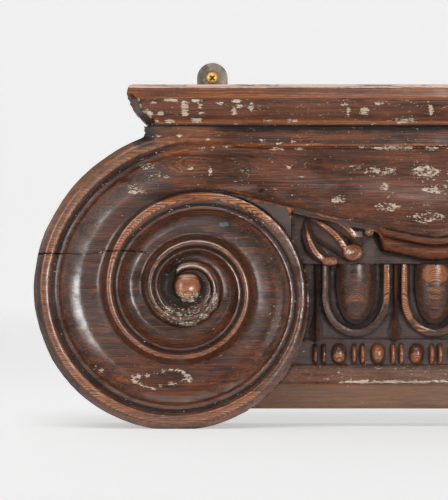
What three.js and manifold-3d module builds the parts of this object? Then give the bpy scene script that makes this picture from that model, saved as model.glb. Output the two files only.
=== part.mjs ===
// An Ionic capital for a pilaster: a pine block carved on its front face, an abacus moulding planted
// on top of it, and the two steel plates, each with its screws, that hang it on a wall.
// Millimetres. +Z is up, the carved front faces -Y, and the flat back stands in the plane y = WALL.

import * as THREE from 'three';
import { mergeVertices } from 'three/addons/utils/BufferGeometryUtils.js';
import Module from 'manifold-3d';

const wasm = await Module();
wasm.setup();

// ---- driving dimensions -------------------------------------------------------------------------

const EYE_SPACING = 305;            // from volute eye to volute eye
const EYE_HEIGHT = 87.5;            // eyes above the ground that the volutes stand on
const BLOCK_TOP = 185.5;            // top of the carved block
const BLOCK_HALF = 179.6;           // half the length of the block's straight top
const FACE = 70;                    // the carving's front plane, measured from the back
const ABACUS_OUT = 12;              // how far the abacus stands out past the block
const ABACUS_HEIGHT = 24.8;
const EGG_PITCH = 48.8;             // from one egg to the next
const EGG_COUNT = 3;
const JOINT = 0.3;                  // gap left between pieces that touch

const DEPTH = FACE + ABACUS_OUT;    // the whole depth, abacus included
const WALL = DEPTH / 2;             // y of the back plane, so the origin is in the middle of the depth
const EYE_X = EYE_SPACING / 2;
const TURN = 360;

// ---- helpers --------------------------------------------------------------------------------------

const radians = THREE.MathUtils.degToRad;
const mix = THREE.MathUtils.lerp;
const smooth = (from, to, value) => THREE.MathUtils.smoothstep(value, from, to);
const range = (count) => Array.from({ length: count }, (_, index) => index);

// A point given by its place along the wall, its distance out from the wall, and its height.
const at = (x, out, z) => new THREE.Vector3(x, WALL - out, z);

// A geometry from a list of points and a list of triangles of their indices.
function geometryOf(points, triangles) {
  const geometry = new THREE.BufferGeometry();
  geometry.setAttribute('position', new THREE.Float32BufferAttribute(points.flatMap((p) => p.toArray()), 3));
  geometry.setIndex(triangles.flat());
  return geometry;
}

// A closed three.js geometry as a solid that can be cut and joined.
function solid(geometry) {
  const bare = geometry.clone();
  bare.deleteAttribute('normal');
  bare.deleteAttribute('uv');
  const merged = mergeVertices(bare, 1e-4);
  const vertProperties = new Float32Array(merged.attributes.position.array);
  const triVerts = new Uint32Array(merged.index.array);
  const made = new wasm.Manifold(new wasm.Mesh({ numProp: 3, vertProperties, triVerts }));
  return made.volume() < 0 ? solid(turnedOut(merged)) : made;
}

// The same closed surface with every face turned the other way out.
function turnedOut(geometry) {
  const turned = geometry.clone();
  const index = Array.from(geometry.index.array);
  const corners = range(index.length / 3).map((i) => [index[3 * i], index[3 * i + 2], index[3 * i + 1]]);
  turned.setIndex(corners.flat());
  return turned;
}

// A solid back as a three.js geometry.
function geometryFrom(shape) {
  const mesh = shape.getMesh();
  const geometry = new THREE.BufferGeometry();
  geometry.setAttribute('position', new THREE.Float32BufferAttribute(mesh.vertProperties, 3));
  geometry.setIndex(Array.from(mesh.triVerts));
  geometry.computeVertexNormals();
  return geometry;
}

const join = (shapes) => shapes.reduce((sum, shape) => sum.add(shape));
const mirrored = (shape) => shape.mirror([1, 0, 0]);
const withMirror = (shape) => shape.add(mirrored(shape));

// A closed body through a row of outlines that all have the same number of points. `flat` gives the two
// coordinates of a point in which the end outlines are filled.
function loft(rings, flat) {
  const count = rings[0].length;
  const triangles = [];
  range(rings.length - 1).forEach((i) => {
    range(count).forEach((k) => {
      const [a, b] = [i * count + k, i * count + ((k + 1) % count)];
      triangles.push([a, b, b + count], [a, b + count, a + count]);
    });
  });
  const fill = (ring, first, facing) => {
    const outline = ring.map((p) => new THREE.Vector2(...flat(p)));
    const along = THREE.ShapeUtils.isClockWise(outline) !== facing;
    THREE.ShapeUtils.triangulateShape(outline, []).forEach(([a, b, c]) => {
      triangles.push(along ? [first + a, first + b, first + c] : [first + a, first + c, first + b]);
    });
  };
  fill(rings[0], 0, false);
  fill(rings[rings.length - 1], (rings.length - 1) * count, true);
  return geometryOf(rings.flat(), triangles);
}

// A profile of [out, height] pairs pushed along the wall from x = -half to x = half.
function runOfProfile(profile, half) {
  const rings = [-half, half].map((x) => profile.map(([out, z]) => at(x, out, z)));
  return solid(loft(rings, (p) => [p.y, p.z]));
}

// A straight block between two corners given as [x, out, z].
function block([x0, out0, z0], [x1, out1, z1]) {
  const geometry = new THREE.BoxGeometry(x1 - x0, out1 - out0, z1 - z0);
  geometry.translate((x0 + x1) / 2, WALL - (out0 + out1) / 2, (z0 + z1) / 2);
  return solid(geometry);
}

// A body with a round section whose axis points out from the wall, from a profile of [radius, out].
function roundPeg(profile, x, z, sides) {
  const geometry = new THREE.LatheGeometry(profile.map(([r, out]) => new THREE.Vector2(r, -out)), sides);
  geometry.translate(x, WALL, z);
  return solid(geometry);
}

// ---- volute ---------------------------------------------------------------------------------------
// The spiral is set out about the eye. Angles grow the way the carving winds inwards: it starts over the
// eye, goes out and down, under the eye, and back up towards the middle of the capital.

const REACH = 83.3;                 // eye to groove, level with the eye on the first turn
const FIRST_DROP = 44.3;            // what the spiral loses on its first turn
const DROP_EASE = 6.56;             // how much less it loses on each turn after that
const SAG = 0.0725;                 // the hand-cut spiral hangs low by this share of its radius ...
const SAG_ANGLE = 290;              // ... towards this side
const OVAL = 0.025;                 // and it is this much out of round ...
const OVAL_ANGLE = 22.5;            // ... along this direction
const SPIRAL_START = 90;
const SPIRAL_STEP = 15;
const SPIRAL_STEPS = 77;             // a little over three turns
const SPIRAL_END = SPIRAL_START + SPIRAL_STEPS * SPIRAL_STEP;
const RIM_WIDE = 11.8;              // breadth of the rim round the outside of the volute
const RIM_NARROW = 8.4;             // and where the second turn begins
const RIM_TAPER = 1.6;              // lost from its breadth on each turn after that
const CHANNEL_DEPTH = 10;
const EDGE_ROUND = 4;               // how far the outer edge is rounded back
const EYE_RADIUS = 8.6;
const EYE_FLOOR_RADIUS = 6.4;       // the spiral's floor runs in under the eye to here
const EYE_FLOOR_DEPTH = 5;
const EYE_PROUD = 2;                // the eye stands this far in front of the rim

const turnsAt = (angle) => (angle - 180) / TURN;

function grooveRadius(angle) {
  const turns = turnsAt(angle);
  const even = REACH - FIRST_DROP * turns + DROP_EASE * turns * turns;
  const sag = SAG * Math.cos(radians(angle - SAG_ANGLE));
  const oval = OVAL * Math.cos(2 * radians(angle - OVAL_ANGLE));
  return even * (1 + sag + oval);
}

function rimWidth(angle) {
  const tucked = smooth(0.3, 0.5, turnsAt(angle));
  const late = Math.max(0, turnsAt(angle) - 0.75);
  return mix(RIM_WIDE, RIM_NARROW, tucked) - RIM_TAPER * late;
}

const footRadius = (angle) => grooveRadius(angle) + rimWidth(angle);

// The section across one turn, from the rim's outer foot inwards: [radius, depth behind the face].
function voluteSection(angle) {
  const groove = grooveRadius(angle);
  const rim = rimWidth(angle);
  const inner = smooth(0.3, 0.6, turnsAt(angle));
  const free = 1 - smooth(0.72, 0.78, turnsAt(angle));
  const foot = footRadius(angle);
  const next = angle + TURN <= SPIRAL_END ? footRadius(angle + TURN) : EYE_FLOOR_RADIUS;
  const bead = 0.36 * rim;
  const shallow = mix(1, 0.55, smooth(1.2, 2.4, turnsAt(angle)));
  const channel = groove - bead - next;
  return [
    [foot, mix(0.8 * CHANNEL_DEPTH * shallow, EDGE_ROUND, free)],
    [groove + mix(0.84, 0.66, inner) * rim, mix(1.4, 2.6, inner)],
    [groove + mix(0.62, 0.46, inner) * rim, 0],
    [groove + mix(0.34, 0.24, inner) * rim, 0.2],
    [groove, 3.4 * shallow],
    [groove - 0.6 * bead, 2.6 * shallow],
    [groove - bead, 4.4 * shallow],
    [groove - bead - 0.22 * channel, 0.8 * CHANNEL_DEPTH * shallow],
    [groove - bead - 0.52 * channel, CHANNEL_DEPTH * shallow],
    [next + 0.16 * channel, 0.94 * CHANNEL_DEPTH * shallow],
  ];
}

// The left volute: one strip wound round the eye, each turn sharing its inner edge with the next
// turn's outer edge, with straight sides back to the wall.
function volute() {
  const points = [];
  const triangles = [];
  const put = (x, out, z) => points.push(at(x, out, z)) - 1;
  const polar = (angle, radius, out) => put(
    -EYE_X + radius * Math.cos(radians(angle)),
    out,
    EYE_HEIGHT + radius * Math.sin(radians(angle)),
  );
  const stepsPerTurn = TURN / SPIRAL_STEP;
  const stepCount = SPIRAL_STEPS;
  const rows = range(stepCount + 1).map((i) => {
    const angle = SPIRAL_START + i * SPIRAL_STEP;
    return voluteSection(angle).map(([radius, depth]) => polar(angle, radius, FACE - depth));
  });
  const eyeFloor = FACE - EYE_FLOOR_DEPTH;
  rows.forEach((row, i) => {
    const angle = SPIRAL_START + i * SPIRAL_STEP;
    const nextTurn = rows[i + stepsPerTurn];
    row.push(nextTurn ? nextTurn[0] : polar(angle, EYE_FLOOR_RADIUS, eyeFloor));
  });
  range(stepCount).forEach((i) => {
    range(rows[0].length - 1).forEach((k) => {
      const [a, b, c, d] = [rows[i][k], rows[i][k + 1], rows[i + 1][k + 1], rows[i + 1][k]];
      triangles.push([a, b, c], [a, c, d]);
    });
  });
  // The last turn closes on the eye, and its end meets the turn before it.
  const firstOnEye = stepCount - stepsPerTurn + 1;
  const onEye = (i) => rows[i][rows[i].length - 1];
  const lastRow = rows[stepCount];
  range(lastRow.length - 1).forEach((k) => triangles.push([onEye(firstOnEye), lastRow[k], lastRow[k + 1]]));
  const middle = put(-EYE_X, eyeFloor, EYE_HEIGHT);
  range(stepsPerTurn - 1).forEach((k) => {
    triangles.push([onEye(firstOnEye + k), middle, onEye(firstOnEye + k + 1)]);
  });
  triangles.push([onEye(stepCount), middle, onEye(firstOnEye)]);
  // The rim of the whole: the first turn's outer edge, closed by the section it starts from.
  const start = rows[0];
  const outline = [...range(stepsPerTurn + 1).map((i) => rows[i][0]), ...start.slice(1, -1).reverse()];
  const back = outline.map((i) => put(points[i].x, 0, points[i].z));
  outline.forEach((front, i) => {
    const next = (i + 1) % outline.length;
    triangles.push([front, outline[next], back[next]], [front, back[next], back[i]]);
  });
  const backShape = back.map((i) => new THREE.Vector2(points[i].x, points[i].z));
  THREE.ShapeUtils.triangulateShape(backShape, []).forEach(([a, b, c]) => {
    triangles.push([back[a], back[b], back[c]]);
  });
  return solid(geometryOf(points, triangles));
}

// The domed eye at the middle of the spiral.
function eye() {
  const rise = EYE_FLOOR_DEPTH + EYE_PROUD;
  const root = FACE - CHANNEL_DEPTH;
  const dome = [90, 68, 45, 22, 0].map((tilt) => [
    EYE_RADIUS * Math.sin(radians(tilt)),
    FACE - EYE_FLOOR_DEPTH + rise * Math.cos(radians(tilt)),
  ]);
  return roundPeg([[0, root], [EYE_RADIUS, root], ...dome], -EYE_X, EYE_HEIGHT, 16);
}

// ---- canalis --------------------------------------------------------------------------------------
// The shallow channel that joins the two volutes: a flat band over it, and a rolled edge that sags
// under it.

const BAND_HEIGHT = 13;
const CANALIS_DEPTH = 6.5;
const SAG_LOW = 115.6;              // the lower edge is a hyperbola: a straight fall from each volute ...
const SAG_SLOPE = 0.23;
const SAG_EASE = 8;                 // ... rounded off over the middle egg
const LIP_HEIGHT = 5;               // the flat under the channel's lower edge
const ROLL_HEIGHT = 9;              // and the roll under that
const SOFFIT_OUT = 56;

const lowerEdge = (x) => SAG_LOW + SAG_SLOPE * Math.hypot(x, SAG_EASE);

// The canalis in section, from its top edge down to its lower edge. It starts as the volute's own
// section over the eye and changes into a flat band and a shallow hollow.
function channelSection(x) {
  const edge = lowerEdge(x);
  const foot = BLOCK_TOP - BAND_HEIGHT;
  const hollow = (f) => [FACE - 1 - CANALIS_DEPTH * Math.sin(Math.PI * f), mix(foot - 2.4, edge, f)];
  const plain = [
    [FACE, BLOCK_TOP],
    [FACE, BLOCK_TOP - 2],
    [FACE, BLOCK_TOP - 5],
    [FACE, foot + 1.4],
    [FACE - 2, foot],
    [FACE - 1, foot - 1.2],
    [FACE - 1.4, foot - 2.4],
    ...[0.22, 0.52, 0.84].map(hollow),
    [FACE - 1, edge],
  ];
  const overEye = voluteSection(SPIRAL_START).map(([radius, depth]) => [FACE - depth, EYE_HEIGHT + radius]);
  overEye.push([FACE - 0.8 * CHANNEL_DEPTH, EYE_HEIGHT + footRadius(SPIRAL_START + TURN)]);
  const ease = smooth(96, EYE_X, Math.abs(x));
  return plain.map(([out, z], i) => {
    const [outOverEye, zOverEye] = overEye[i];
    return [mix(out, outOverEye, ease), Math.min(BLOCK_TOP, mix(z, zOverEye, ease))];
  });
}

function canalisSection(x) {
  const channel = channelSection(x);
  const [lipOut, edge] = channel[channel.length - 1];
  const roll = 1 - smooth(42, 66, Math.abs(x));
  const lipFoot = edge - LIP_HEIGHT * mix(0.3, 1, roll);
  const rollFoot = lipFoot - mix(2, ROLL_HEIGHT, roll);
  return [
    [0, BLOCK_TOP],
    ...channel,
    [lipOut - 1.5, lipFoot],
    [lipOut - 0.2 - 2 * (1 - roll), mix(lipFoot, rollFoot, 0.35)],
    [lipOut - 3, mix(lipFoot, rollFoot, 0.85)],
    [SOFFIT_OUT, rollFoot - 0.4],
    [0, rollFoot - 0.4],
  ];
}

function canalis() {
  const stations = [EYE_X + 1.5, 142, 130, 116, 102, 88, 72, 56, 40, 24, 10, 0];
  const xs = [...stations.map((x) => -x), ...stations.slice(0, -1).reverse()];
  const rings = xs.map((x) => canalisSection(x).map(([out, z]) => at(x, out, z)));
  return solid(loft(rings, (p) => [p.y, p.z]));
}

// The square corners of the block over the volutes.
const shoulders = () => block(
  [-BLOCK_HALF, 0, BLOCK_TOP - BAND_HEIGHT + 6],
  [BLOCK_HALF, FACE - JOINT, BLOCK_TOP],
);

// ---- echinus: eggs, shells and darts ------------------------------------------------------------------

const FASCIA_FOOT = 11.2;           // underside of the block between the volutes
const FASCIA_TOP = 26.6;
const ASTRAGAL_FOOT = 38.4;
const ASTRAGAL_TOP = 52;
const ECHINUS_FOOT = 54;
const ECHINUS_TOP = 101;
const ECHINUS_HALF = 108;
const FASCIA_OUT = 44;              // how far each part of the foot stands out from the wall
const BAND_OUT = 45.5;
const ASTRAGAL_OUT = 42;
const ECHINUS_OUT = 43;
const ECHINUS_SWELL = 9;            // how much further out the ground behind the eggs is at its top
const FOOTING_HALF = 125;

// How far the ground behind the eggs stands out at a height: an ovolo, fuller at the top.
function echinusGround(z) {
  const rise = THREE.MathUtils.clamp((z - ECHINUS_FOOT) / (ECHINUS_TOP - ECHINUS_FOOT), 0, 1);
  return ECHINUS_OUT + ECHINUS_SWELL * Math.sqrt(1 - (1 - rise) * (1 - rise));
}

// The block between the volutes, below the canalis.
function core() {
  const ovolo = [0, 0.12, 0.35, 0.65, 1].map((f) => {
    const z = mix(ECHINUS_FOOT, ECHINUS_TOP, f);
    return [echinusGround(z), z];
  });
  return runOfProfile([
    [0, FASCIA_FOOT],
    [FASCIA_OUT, FASCIA_FOOT],
    [FASCIA_OUT, FASCIA_TOP],
    [BAND_OUT, FASCIA_TOP + 0.8],
    [BAND_OUT, ASTRAGAL_FOOT],
    [ASTRAGAL_OUT, ASTRAGAL_FOOT + 0.6],
    [ASTRAGAL_OUT, ASTRAGAL_TOP],
    [FASCIA_OUT, ASTRAGAL_TOP + 0.6],
    ...ovolo,
    [SOFFIT_OUT, ECHINUS_TOP + 0.4],
    [SOFFIT_OUT - 1, ECHINUS_TOP + 34],
    [SOFFIT_OUT - 1, BLOCK_TOP - 20],
    [0, BLOCK_TOP - 20],
  ], ECHINUS_HALF);
}

// The foot of the block runs on into the volutes, a little narrower than they are.
const footing = () => block(
  [-FOOTING_HALF, 0, FASCIA_FOOT],
  [FOOTING_HALF, FASCIA_OUT - JOINT, FASCIA_TOP],
);

const EGG_HALF = 12.2;
const EGG_MIDDLE = 87;              // the height at which an egg is widest
const EGG_FOOT = 63;
const EGG_SEAT = 48;                // the egg's own middle, measured out from the wall
const EGG_OUT = 14;                 // and how far it swells in front of that
const EGG_TALL = 1.5;               // it is this much taller above its middle than below
const EGG_LEAN = 0.13;              // the eggs lean back towards their foot

// An egg, cut off at the top by the edge of the soffit.
function egg(x) {
  const geometry = new THREE.SphereGeometry(1, 12, 10);
  geometry.rotateX(Math.PI / 2);
  const places = geometry.attributes.position;
  range(places.count).forEach((i) => {
    const [u, v, w] = [places.getX(i), places.getY(i), places.getZ(i)];
    const z = EGG_MIDDLE + w * (w > 0 ? EGG_TALL : 1) * (EGG_MIDDLE - EGG_FOOT);
    const seat = EGG_SEAT + EGG_LEAN * (z - EGG_MIDDLE);
    places.setXYZ(i, x + EGG_HALF * u, WALL - seat + EGG_OUT * v, z);
  });
  const room = block([x - EGG_PITCH / 2, 0, ECHINUS_FOOT], [x + EGG_PITCH / 2, FACE, ECHINUS_TOP + 1]);
  return solid(geometry).intersect(room);
}

const SHELL_HALF = 18.9;            // from the egg's middle to the middle of its shell's edge
const SHELL_WIDTH = 4.4;
const SHELL_PROUD = 7;
const SHELL_BEND = 82;               // the shell's straight sides end and its round foot begins here
const SHELL_FOOT = 58.5;

// The U-shaped shell round an egg: a band with a flat face.
function shell(x) {
  const side = (sign) => [[sign * SHELL_HALF, ECHINUS_TOP + 1, -sign, 0]];
  const round = range(13).map((i) => {
    const angle = Math.PI * (i / 12);
    const [c, s] = [Math.cos(angle), Math.sin(angle)];
    return [-SHELL_HALF * c, SHELL_BEND - (SHELL_BEND - SHELL_FOOT) * s, c, s];
  });
  const path = [...side(-1), ...round, ...side(1)];
  const rings = path.map(([dx, z, nx, nz]) => {
    const ground = echinusGround(z);
    return [[-0.5, -3], [-0.42, SHELL_PROUD - 1], [0.42, SHELL_PROUD], [0.5, -3]].map(([across, out]) => at(
      x + dx + across * SHELL_WIDTH * nx,
      ground + out,
      z + across * SHELL_WIDTH * nz,
    ));
  });
  return solid(loft(rings, (p) => [p.y, p.x]));
}

// A dart between two shells: a thin stem that opens into an arrow head.
function dart(x) {
  const widths = [[ECHINUS_TOP + 1, 1.3], [78, 1.2], [70, 1.4], [61, 4], [57.5, 4], [53, 1.6]];
  const rings = widths.map(([z, half]) => {
    const ground = Math.max(43, echinusGround(z));
    return [at(x - half, ground - 3, z), at(x, ground + 6, z), at(x + half, ground - 3, z)];
  });
  return solid(loft(rings, (p) => [p.x, p.y]));
}

// ---- astragal: beads and reels -------------------------------------------------------------------------

const BEAD_MIDDLE = (ASTRAGAL_FOOT + ASTRAGAL_TOP) / 2;
const BEAD_HALF_HEIGHT = (ASTRAGAL_TOP - ASTRAGAL_FOOT) / 2 - 0.3;
const BEAD_PITCH = EGG_PITCH / 2;
const BEAD_SEAT = 43;               // the string's axis, measured out from the wall
const BEAD_HALF_LENGTH = 5.6;
const BEAD_SWELL = 7.4;             // how far a bead stands in front of its axis
const REEL_GAP = 5;                 // between the middles of a pair of reels
const REEL_THICK = 2.4;

function bead(x) {
  const geometry = new THREE.SphereGeometry(1, 8, 8);
  geometry.rotateZ(Math.PI / 2);
  geometry.scale(BEAD_HALF_LENGTH, BEAD_SWELL, BEAD_HALF_HEIGHT);
  geometry.translate(x, WALL - BEAD_SEAT, BEAD_MIDDLE);
  return solid(geometry);
}

function reel(x) {
  const geometry = new THREE.CylinderGeometry(BEAD_HALF_HEIGHT, BEAD_HALF_HEIGHT, REEL_THICK, 10);
  geometry.rotateZ(Math.PI / 2);
  geometry.scale(1, 1.1, 1);
  geometry.translate(x, WALL - BEAD_SEAT, BEAD_MIDDLE);
  return solid(geometry);
}

// ---- leaf -----------------------------------------------------------------------------------------------

// One lobe of the half palmette that springs from between the volute and the canalis: a tapering ridge
// along a curve, ending in a rolled tip.
function lobe(stem, bend, tip, width, height) {
  const curve = new THREE.QuadraticBezierCurve3(at(...stem), at(...bend), at(...tip));
  const steps = 6;
  const rings = range(steps + 1).map((i) => {
    const t = i / steps;
    const point = curve.getPoint(t);
    const along = curve.getTangent(t);
    const across = new THREE.Vector3(-along.z, 0, along.x).normalize();
    const half = width * mix(0.45, 1, Math.sin(Math.PI * Math.min(1, t * 0.62 + 0.1)));
    const side = (share, rise) => {
      const place = point.clone().addScaledVector(across, half * share);
      return place.add(new THREE.Vector3(0, -rise, 0));
    };
    return [side(-1, -8), side(-0.8, 0), side(0, height), side(0.8, 0), side(1, -8)];
  });
  const last = (p) => [p.clone().sub(at(...stem)).dot(new THREE.Vector3(0, 1, 0)), p.x + p.z];
  const ball = new THREE.SphereGeometry(width * 0.95, 8, 6);
  ball.translate(...at(tip[0], tip[1] + 0.5, tip[2]).toArray());
  return solid(loft(rings, last)).add(solid(ball));
}

function leaf() {
  return join([
    lobe([-80, 60, 131], [-58, 68, 130.5], [-42.5, 66, 120], 3.4, 3),
    lobe([-79, 59, 129], [-62, 69, 122.5], [-50.5, 65, 108.5], 4.8, 4),
    lobe([-83, 58, 127.5], [-79, 66, 107], [-67.5, 62, 104], 3.8, 3.5),
  ]);
}

// ---- hanging plates and their screws ---------------------------------------------------------------------

const PLATE_X = 137.7;
const PLATE_THICK = 2;
const PLATE_HALF = 19;
const PLATE_FOOT = 166;
const PLATE_SHOULDER = 206;
const TAB_HALF = 9.75;
const TAB_MIDDLE = 219.1;
const PLATE_CORNER = 4;             // cut off the plate's shoulders
const WALL_HOLE = 2.4;
const WALL_SHANK = 2.1;
const WALL_HEAD = 4;
const WALL_HEAD_EDGE = 0.5;         // the straight edge under the head's dome
const WALL_HEAD_DOME = 1.9;
const WOOD_SCREW_Z = 175;
const WOOD_SCREW_X = 11.5;
const WOOD_HOLE = 1.9;
const WOOD_SHANK = 1.6;
const WOOD_HEAD = 3.4;
const WOOD_SCREW_LENGTH = 16;

// The outline of a plate: a broad foot, shoulders, and a round-topped tab, grown by `grow` all round.
function plateShape(grow) {
  const shape = new THREE.Shape();
  shape.moveTo(-PLATE_HALF - grow, PLATE_FOOT - grow);
  shape.lineTo(PLATE_HALF + grow, PLATE_FOOT - grow);
  shape.lineTo(PLATE_HALF + grow, PLATE_SHOULDER + grow - PLATE_CORNER);
  shape.lineTo(PLATE_HALF + grow - PLATE_CORNER, PLATE_SHOULDER + grow);
  shape.lineTo(TAB_HALF + grow, PLATE_SHOULDER + grow);
  shape.lineTo(TAB_HALF + grow, TAB_MIDDLE);
  shape.absarc(0, TAB_MIDDLE, TAB_HALF + grow, 0, Math.PI, false);
  shape.lineTo(-TAB_HALF - grow, PLATE_SHOULDER + grow);
  shape.lineTo(-PLATE_HALF - grow + PLATE_CORNER, PLATE_SHOULDER + grow);
  shape.lineTo(-PLATE_HALF - grow, PLATE_SHOULDER + grow - PLATE_CORNER);
  return shape;
}

function plateSlab(x, grow, from, to) {
  const geometry = new THREE.ExtrudeGeometry(plateShape(grow), {
    depth: to - from, bevelEnabled: false, curveSegments: 9,
  });
  geometry.rotateX(Math.PI / 2);
  geometry.translate(x, WALL - from, 0);
  return solid(geometry);
}

const woodScrewPlaces = (x) => [-WOOD_SCREW_X, WOOD_SCREW_X].map((dx) => [x + dx, WOOD_SCREW_Z]);

// A countersunk head with its face in the plate's back and its shank into the wood.
const woodScrewProfile = (grow) => [
  [0, -grow],
  [WOOD_HEAD + grow, -grow],
  [WOOD_SHANK + grow, WOOD_HEAD - WOOD_SHANK],
  [WOOD_SHANK + grow, WOOD_SCREW_LENGTH - 3],
  [0, WOOD_SCREW_LENGTH + grow],
];

const woodScrew = ([x, z]) => roundPeg(woodScrewProfile(0), x, z, 8);
const woodScrewHole = ([x, z]) => roundPeg(woodScrewProfile(JOINT), x, z, 8);

function plate(x) {
  const hole = roundPeg([[0, -1], [WALL_HOLE, -1], [WALL_HOLE, 3], [0, 3]], x, TAB_MIDDLE, 12);
  const cuts = [hole, ...woodScrewPlaces(x).map(woodScrewHole)];
  return cuts.reduce((body, cut) => body.subtract(cut), plateSlab(x, 0, 0, PLATE_THICK));
}

// A round-headed brass screw, cut off flush with the wall.
function wallScrew(x) {
  const seat = PLATE_THICK + JOINT;
  const slot = (turn) => {
    const geometry = new THREE.BoxGeometry(WALL_HEAD, 1.6, 0.8);
    geometry.rotateY(radians(turn));
    geometry.translate(x, WALL - seat - 2.2, TAB_MIDDLE);
    return solid(geometry);
  };
  const head = [90, 45, 0].map((tilt) => [
    WALL_HEAD * Math.sin(radians(tilt)),
    seat + WALL_HEAD_EDGE + WALL_HEAD_DOME * Math.cos(radians(tilt)),
  ]);
  const shank = [[0, 0], [WALL_SHANK, 0], [WALL_SHANK, seat], [WALL_HEAD, seat]];
  const body = roundPeg([...shank, ...head], x, TAB_MIDDLE, 12);
  return body.subtract(slot(45)).subtract(slot(-45));
}

// What the plates and screws take out of the wood behind them.
const letIn = (x) => join([
  plateSlab(x, JOINT, -1, PLATE_THICK + JOINT),
  ...woodScrewPlaces(x).map(woodScrewHole),
]);

// ---- abacus ---------------------------------------------------------------------------------------------

// The moulding in section, from its foot up, as shares of its projection and of its height: a cyma that
// swells out over the joint, a quirk, and a plain fillet with an eased top edge.
const ABACUS_PROFILE = [
  [0, 0],
  [0.05, 0.09],
  [0.28, 0.17],
  [0.58, 0.31],
  [0.8, 0.47],
  [0.9, 0.6],
  [1, 0.65],
  [1, 0.94],
  [0.9, 1],
];

function abacus() {
  const foot = BLOCK_TOP + JOINT;
  const rings = ABACUS_PROFILE.map(([share, rise]) => {
    const out = share * ABACUS_OUT;
    const [half, front, z] = [BLOCK_HALF - 1 + out, FACE + out, foot + rise * ABACUS_HEIGHT];
    return [at(-half, 0, z), at(half, 0, z), at(half, front, z), at(-half, front, z)];
  });
  return solid(loft(rings, (p) => [p.x, p.y]));
}

// ---- the pieces -----------------------------------------------------------------------------------------

const pine = new THREE.MeshStandardMaterial({ color: 0x5a2c1a, roughness: 0.38, metalness: 0 });
const steel = new THREE.MeshStandardMaterial({ color: 0x4a443c, roughness: 0.5, metalness: 0.8 });
const brass = new THREE.MeshStandardMaterial({ color: 0xc79335, roughness: 0.3, metalness: 1 });

const capital = new THREE.Group();

function add(name, shape, material) {
  const mesh = new THREE.Mesh(geometryFrom(shape), material);
  mesh.name = name;
  capital.add(mesh);
}

const spread = (count, pitch) => range(count).map((i) => (i - (count - 1) / 2) * pitch);

function carvedBlock() {
  const eggs = spread(EGG_COUNT, EGG_PITCH);
  const darts = spread(EGG_COUNT + 1, EGG_PITCH);
  const reels = spread(2 * EGG_COUNT + 1, BEAD_PITCH);
  const beads = spread(2 * EGG_COUNT, BEAD_PITCH);
  const carving = join([
    withMirror(volute().add(eye()).intersect(block([-300, -1, 0], [0, DEPTH, BLOCK_TOP]))),
    canalis(),
    shoulders(),
    core(),
    footing(),
    ...eggs.flatMap((x) => [egg(x), shell(x)]),
    ...darts.map(dart),
    ...beads.map(bead),
    ...reels.flatMap((x) => [reel(x - REEL_GAP / 2), reel(x + REEL_GAP / 2)]),
    withMirror(leaf()),
  ]);
  return [-PLATE_X, PLATE_X].reduce((body, x) => body.subtract(letIn(x)), carving);
}

add('carved_block', carvedBlock(), pine);
add('abacus', [-PLATE_X, PLATE_X].reduce((body, x) => body.subtract(letIn(x)), abacus()), pine);
[['left', -PLATE_X], ['right', PLATE_X]].forEach(([side, x]) => {
  add(`hanging_plate_${side}`, plate(x), steel);
  add(`wall_screw_${side}`, wallScrew(x), brass);
  woodScrewPlaces(x).forEach((place, i) => add(`plate_screw_${side}_${i + 1}`, woodScrew(place), steel));
});

export default capital;
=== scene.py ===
"""The looks of the carved pine capital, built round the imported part: a finely carved front for the block,
a chipped abacus, worn steel hanging plates and brass screws, on a pale studio floor.

Lengths are millimetres until a mesh is made. A place is given as x along the wall, `out` from the wall
and z above the floor, as it is in the part."""

import math

import bmesh
import bpy
import numpy as np
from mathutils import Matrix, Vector
from mathutils.geometry import delaunay_2d_cdt


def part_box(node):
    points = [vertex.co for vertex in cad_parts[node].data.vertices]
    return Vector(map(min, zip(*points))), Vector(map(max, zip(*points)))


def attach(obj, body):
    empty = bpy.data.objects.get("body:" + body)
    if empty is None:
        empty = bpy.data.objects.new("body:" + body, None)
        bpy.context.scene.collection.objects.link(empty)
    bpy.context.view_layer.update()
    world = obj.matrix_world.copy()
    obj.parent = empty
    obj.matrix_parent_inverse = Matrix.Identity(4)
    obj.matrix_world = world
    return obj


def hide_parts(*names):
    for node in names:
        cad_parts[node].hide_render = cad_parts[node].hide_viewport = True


MM = 0.001
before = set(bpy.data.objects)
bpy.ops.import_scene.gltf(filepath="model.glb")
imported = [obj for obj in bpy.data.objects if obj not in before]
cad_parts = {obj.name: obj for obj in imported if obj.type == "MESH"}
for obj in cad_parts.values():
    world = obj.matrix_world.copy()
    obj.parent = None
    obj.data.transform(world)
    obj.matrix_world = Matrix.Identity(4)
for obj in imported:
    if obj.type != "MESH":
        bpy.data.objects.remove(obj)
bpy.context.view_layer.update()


def box_mm(node):
    """A CAD node's lowest and highest corners in millimetres."""
    low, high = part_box(node)
    return np.array(low) / MM, np.array(high) / MM


_, block_high = box_mm("carved_block")
abacus_low, abacus_high = box_mm("abacus")

# ---- the part's own dimensions ----

WALL = block_high[1]
BLOCK_TOP = block_high[2]
EYE_X = -152.5
EYE_HEIGHT = 87.5
BLOCK_HALF = 179.6
FACE = 70.0
JOINT = 0.3
EGG_PITCH = 48.8

# ---- small helpers ----


def mix(a, b, share):
    return a + (b - a) * share


def smooth(low, high, value):
    share = np.clip((np.asarray(value, float) - low) / (high - low), 0, 1)
    return share * share * (3 - 2 * share)


NOISE_CELLS = 64               # cells before the noise repeats


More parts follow.
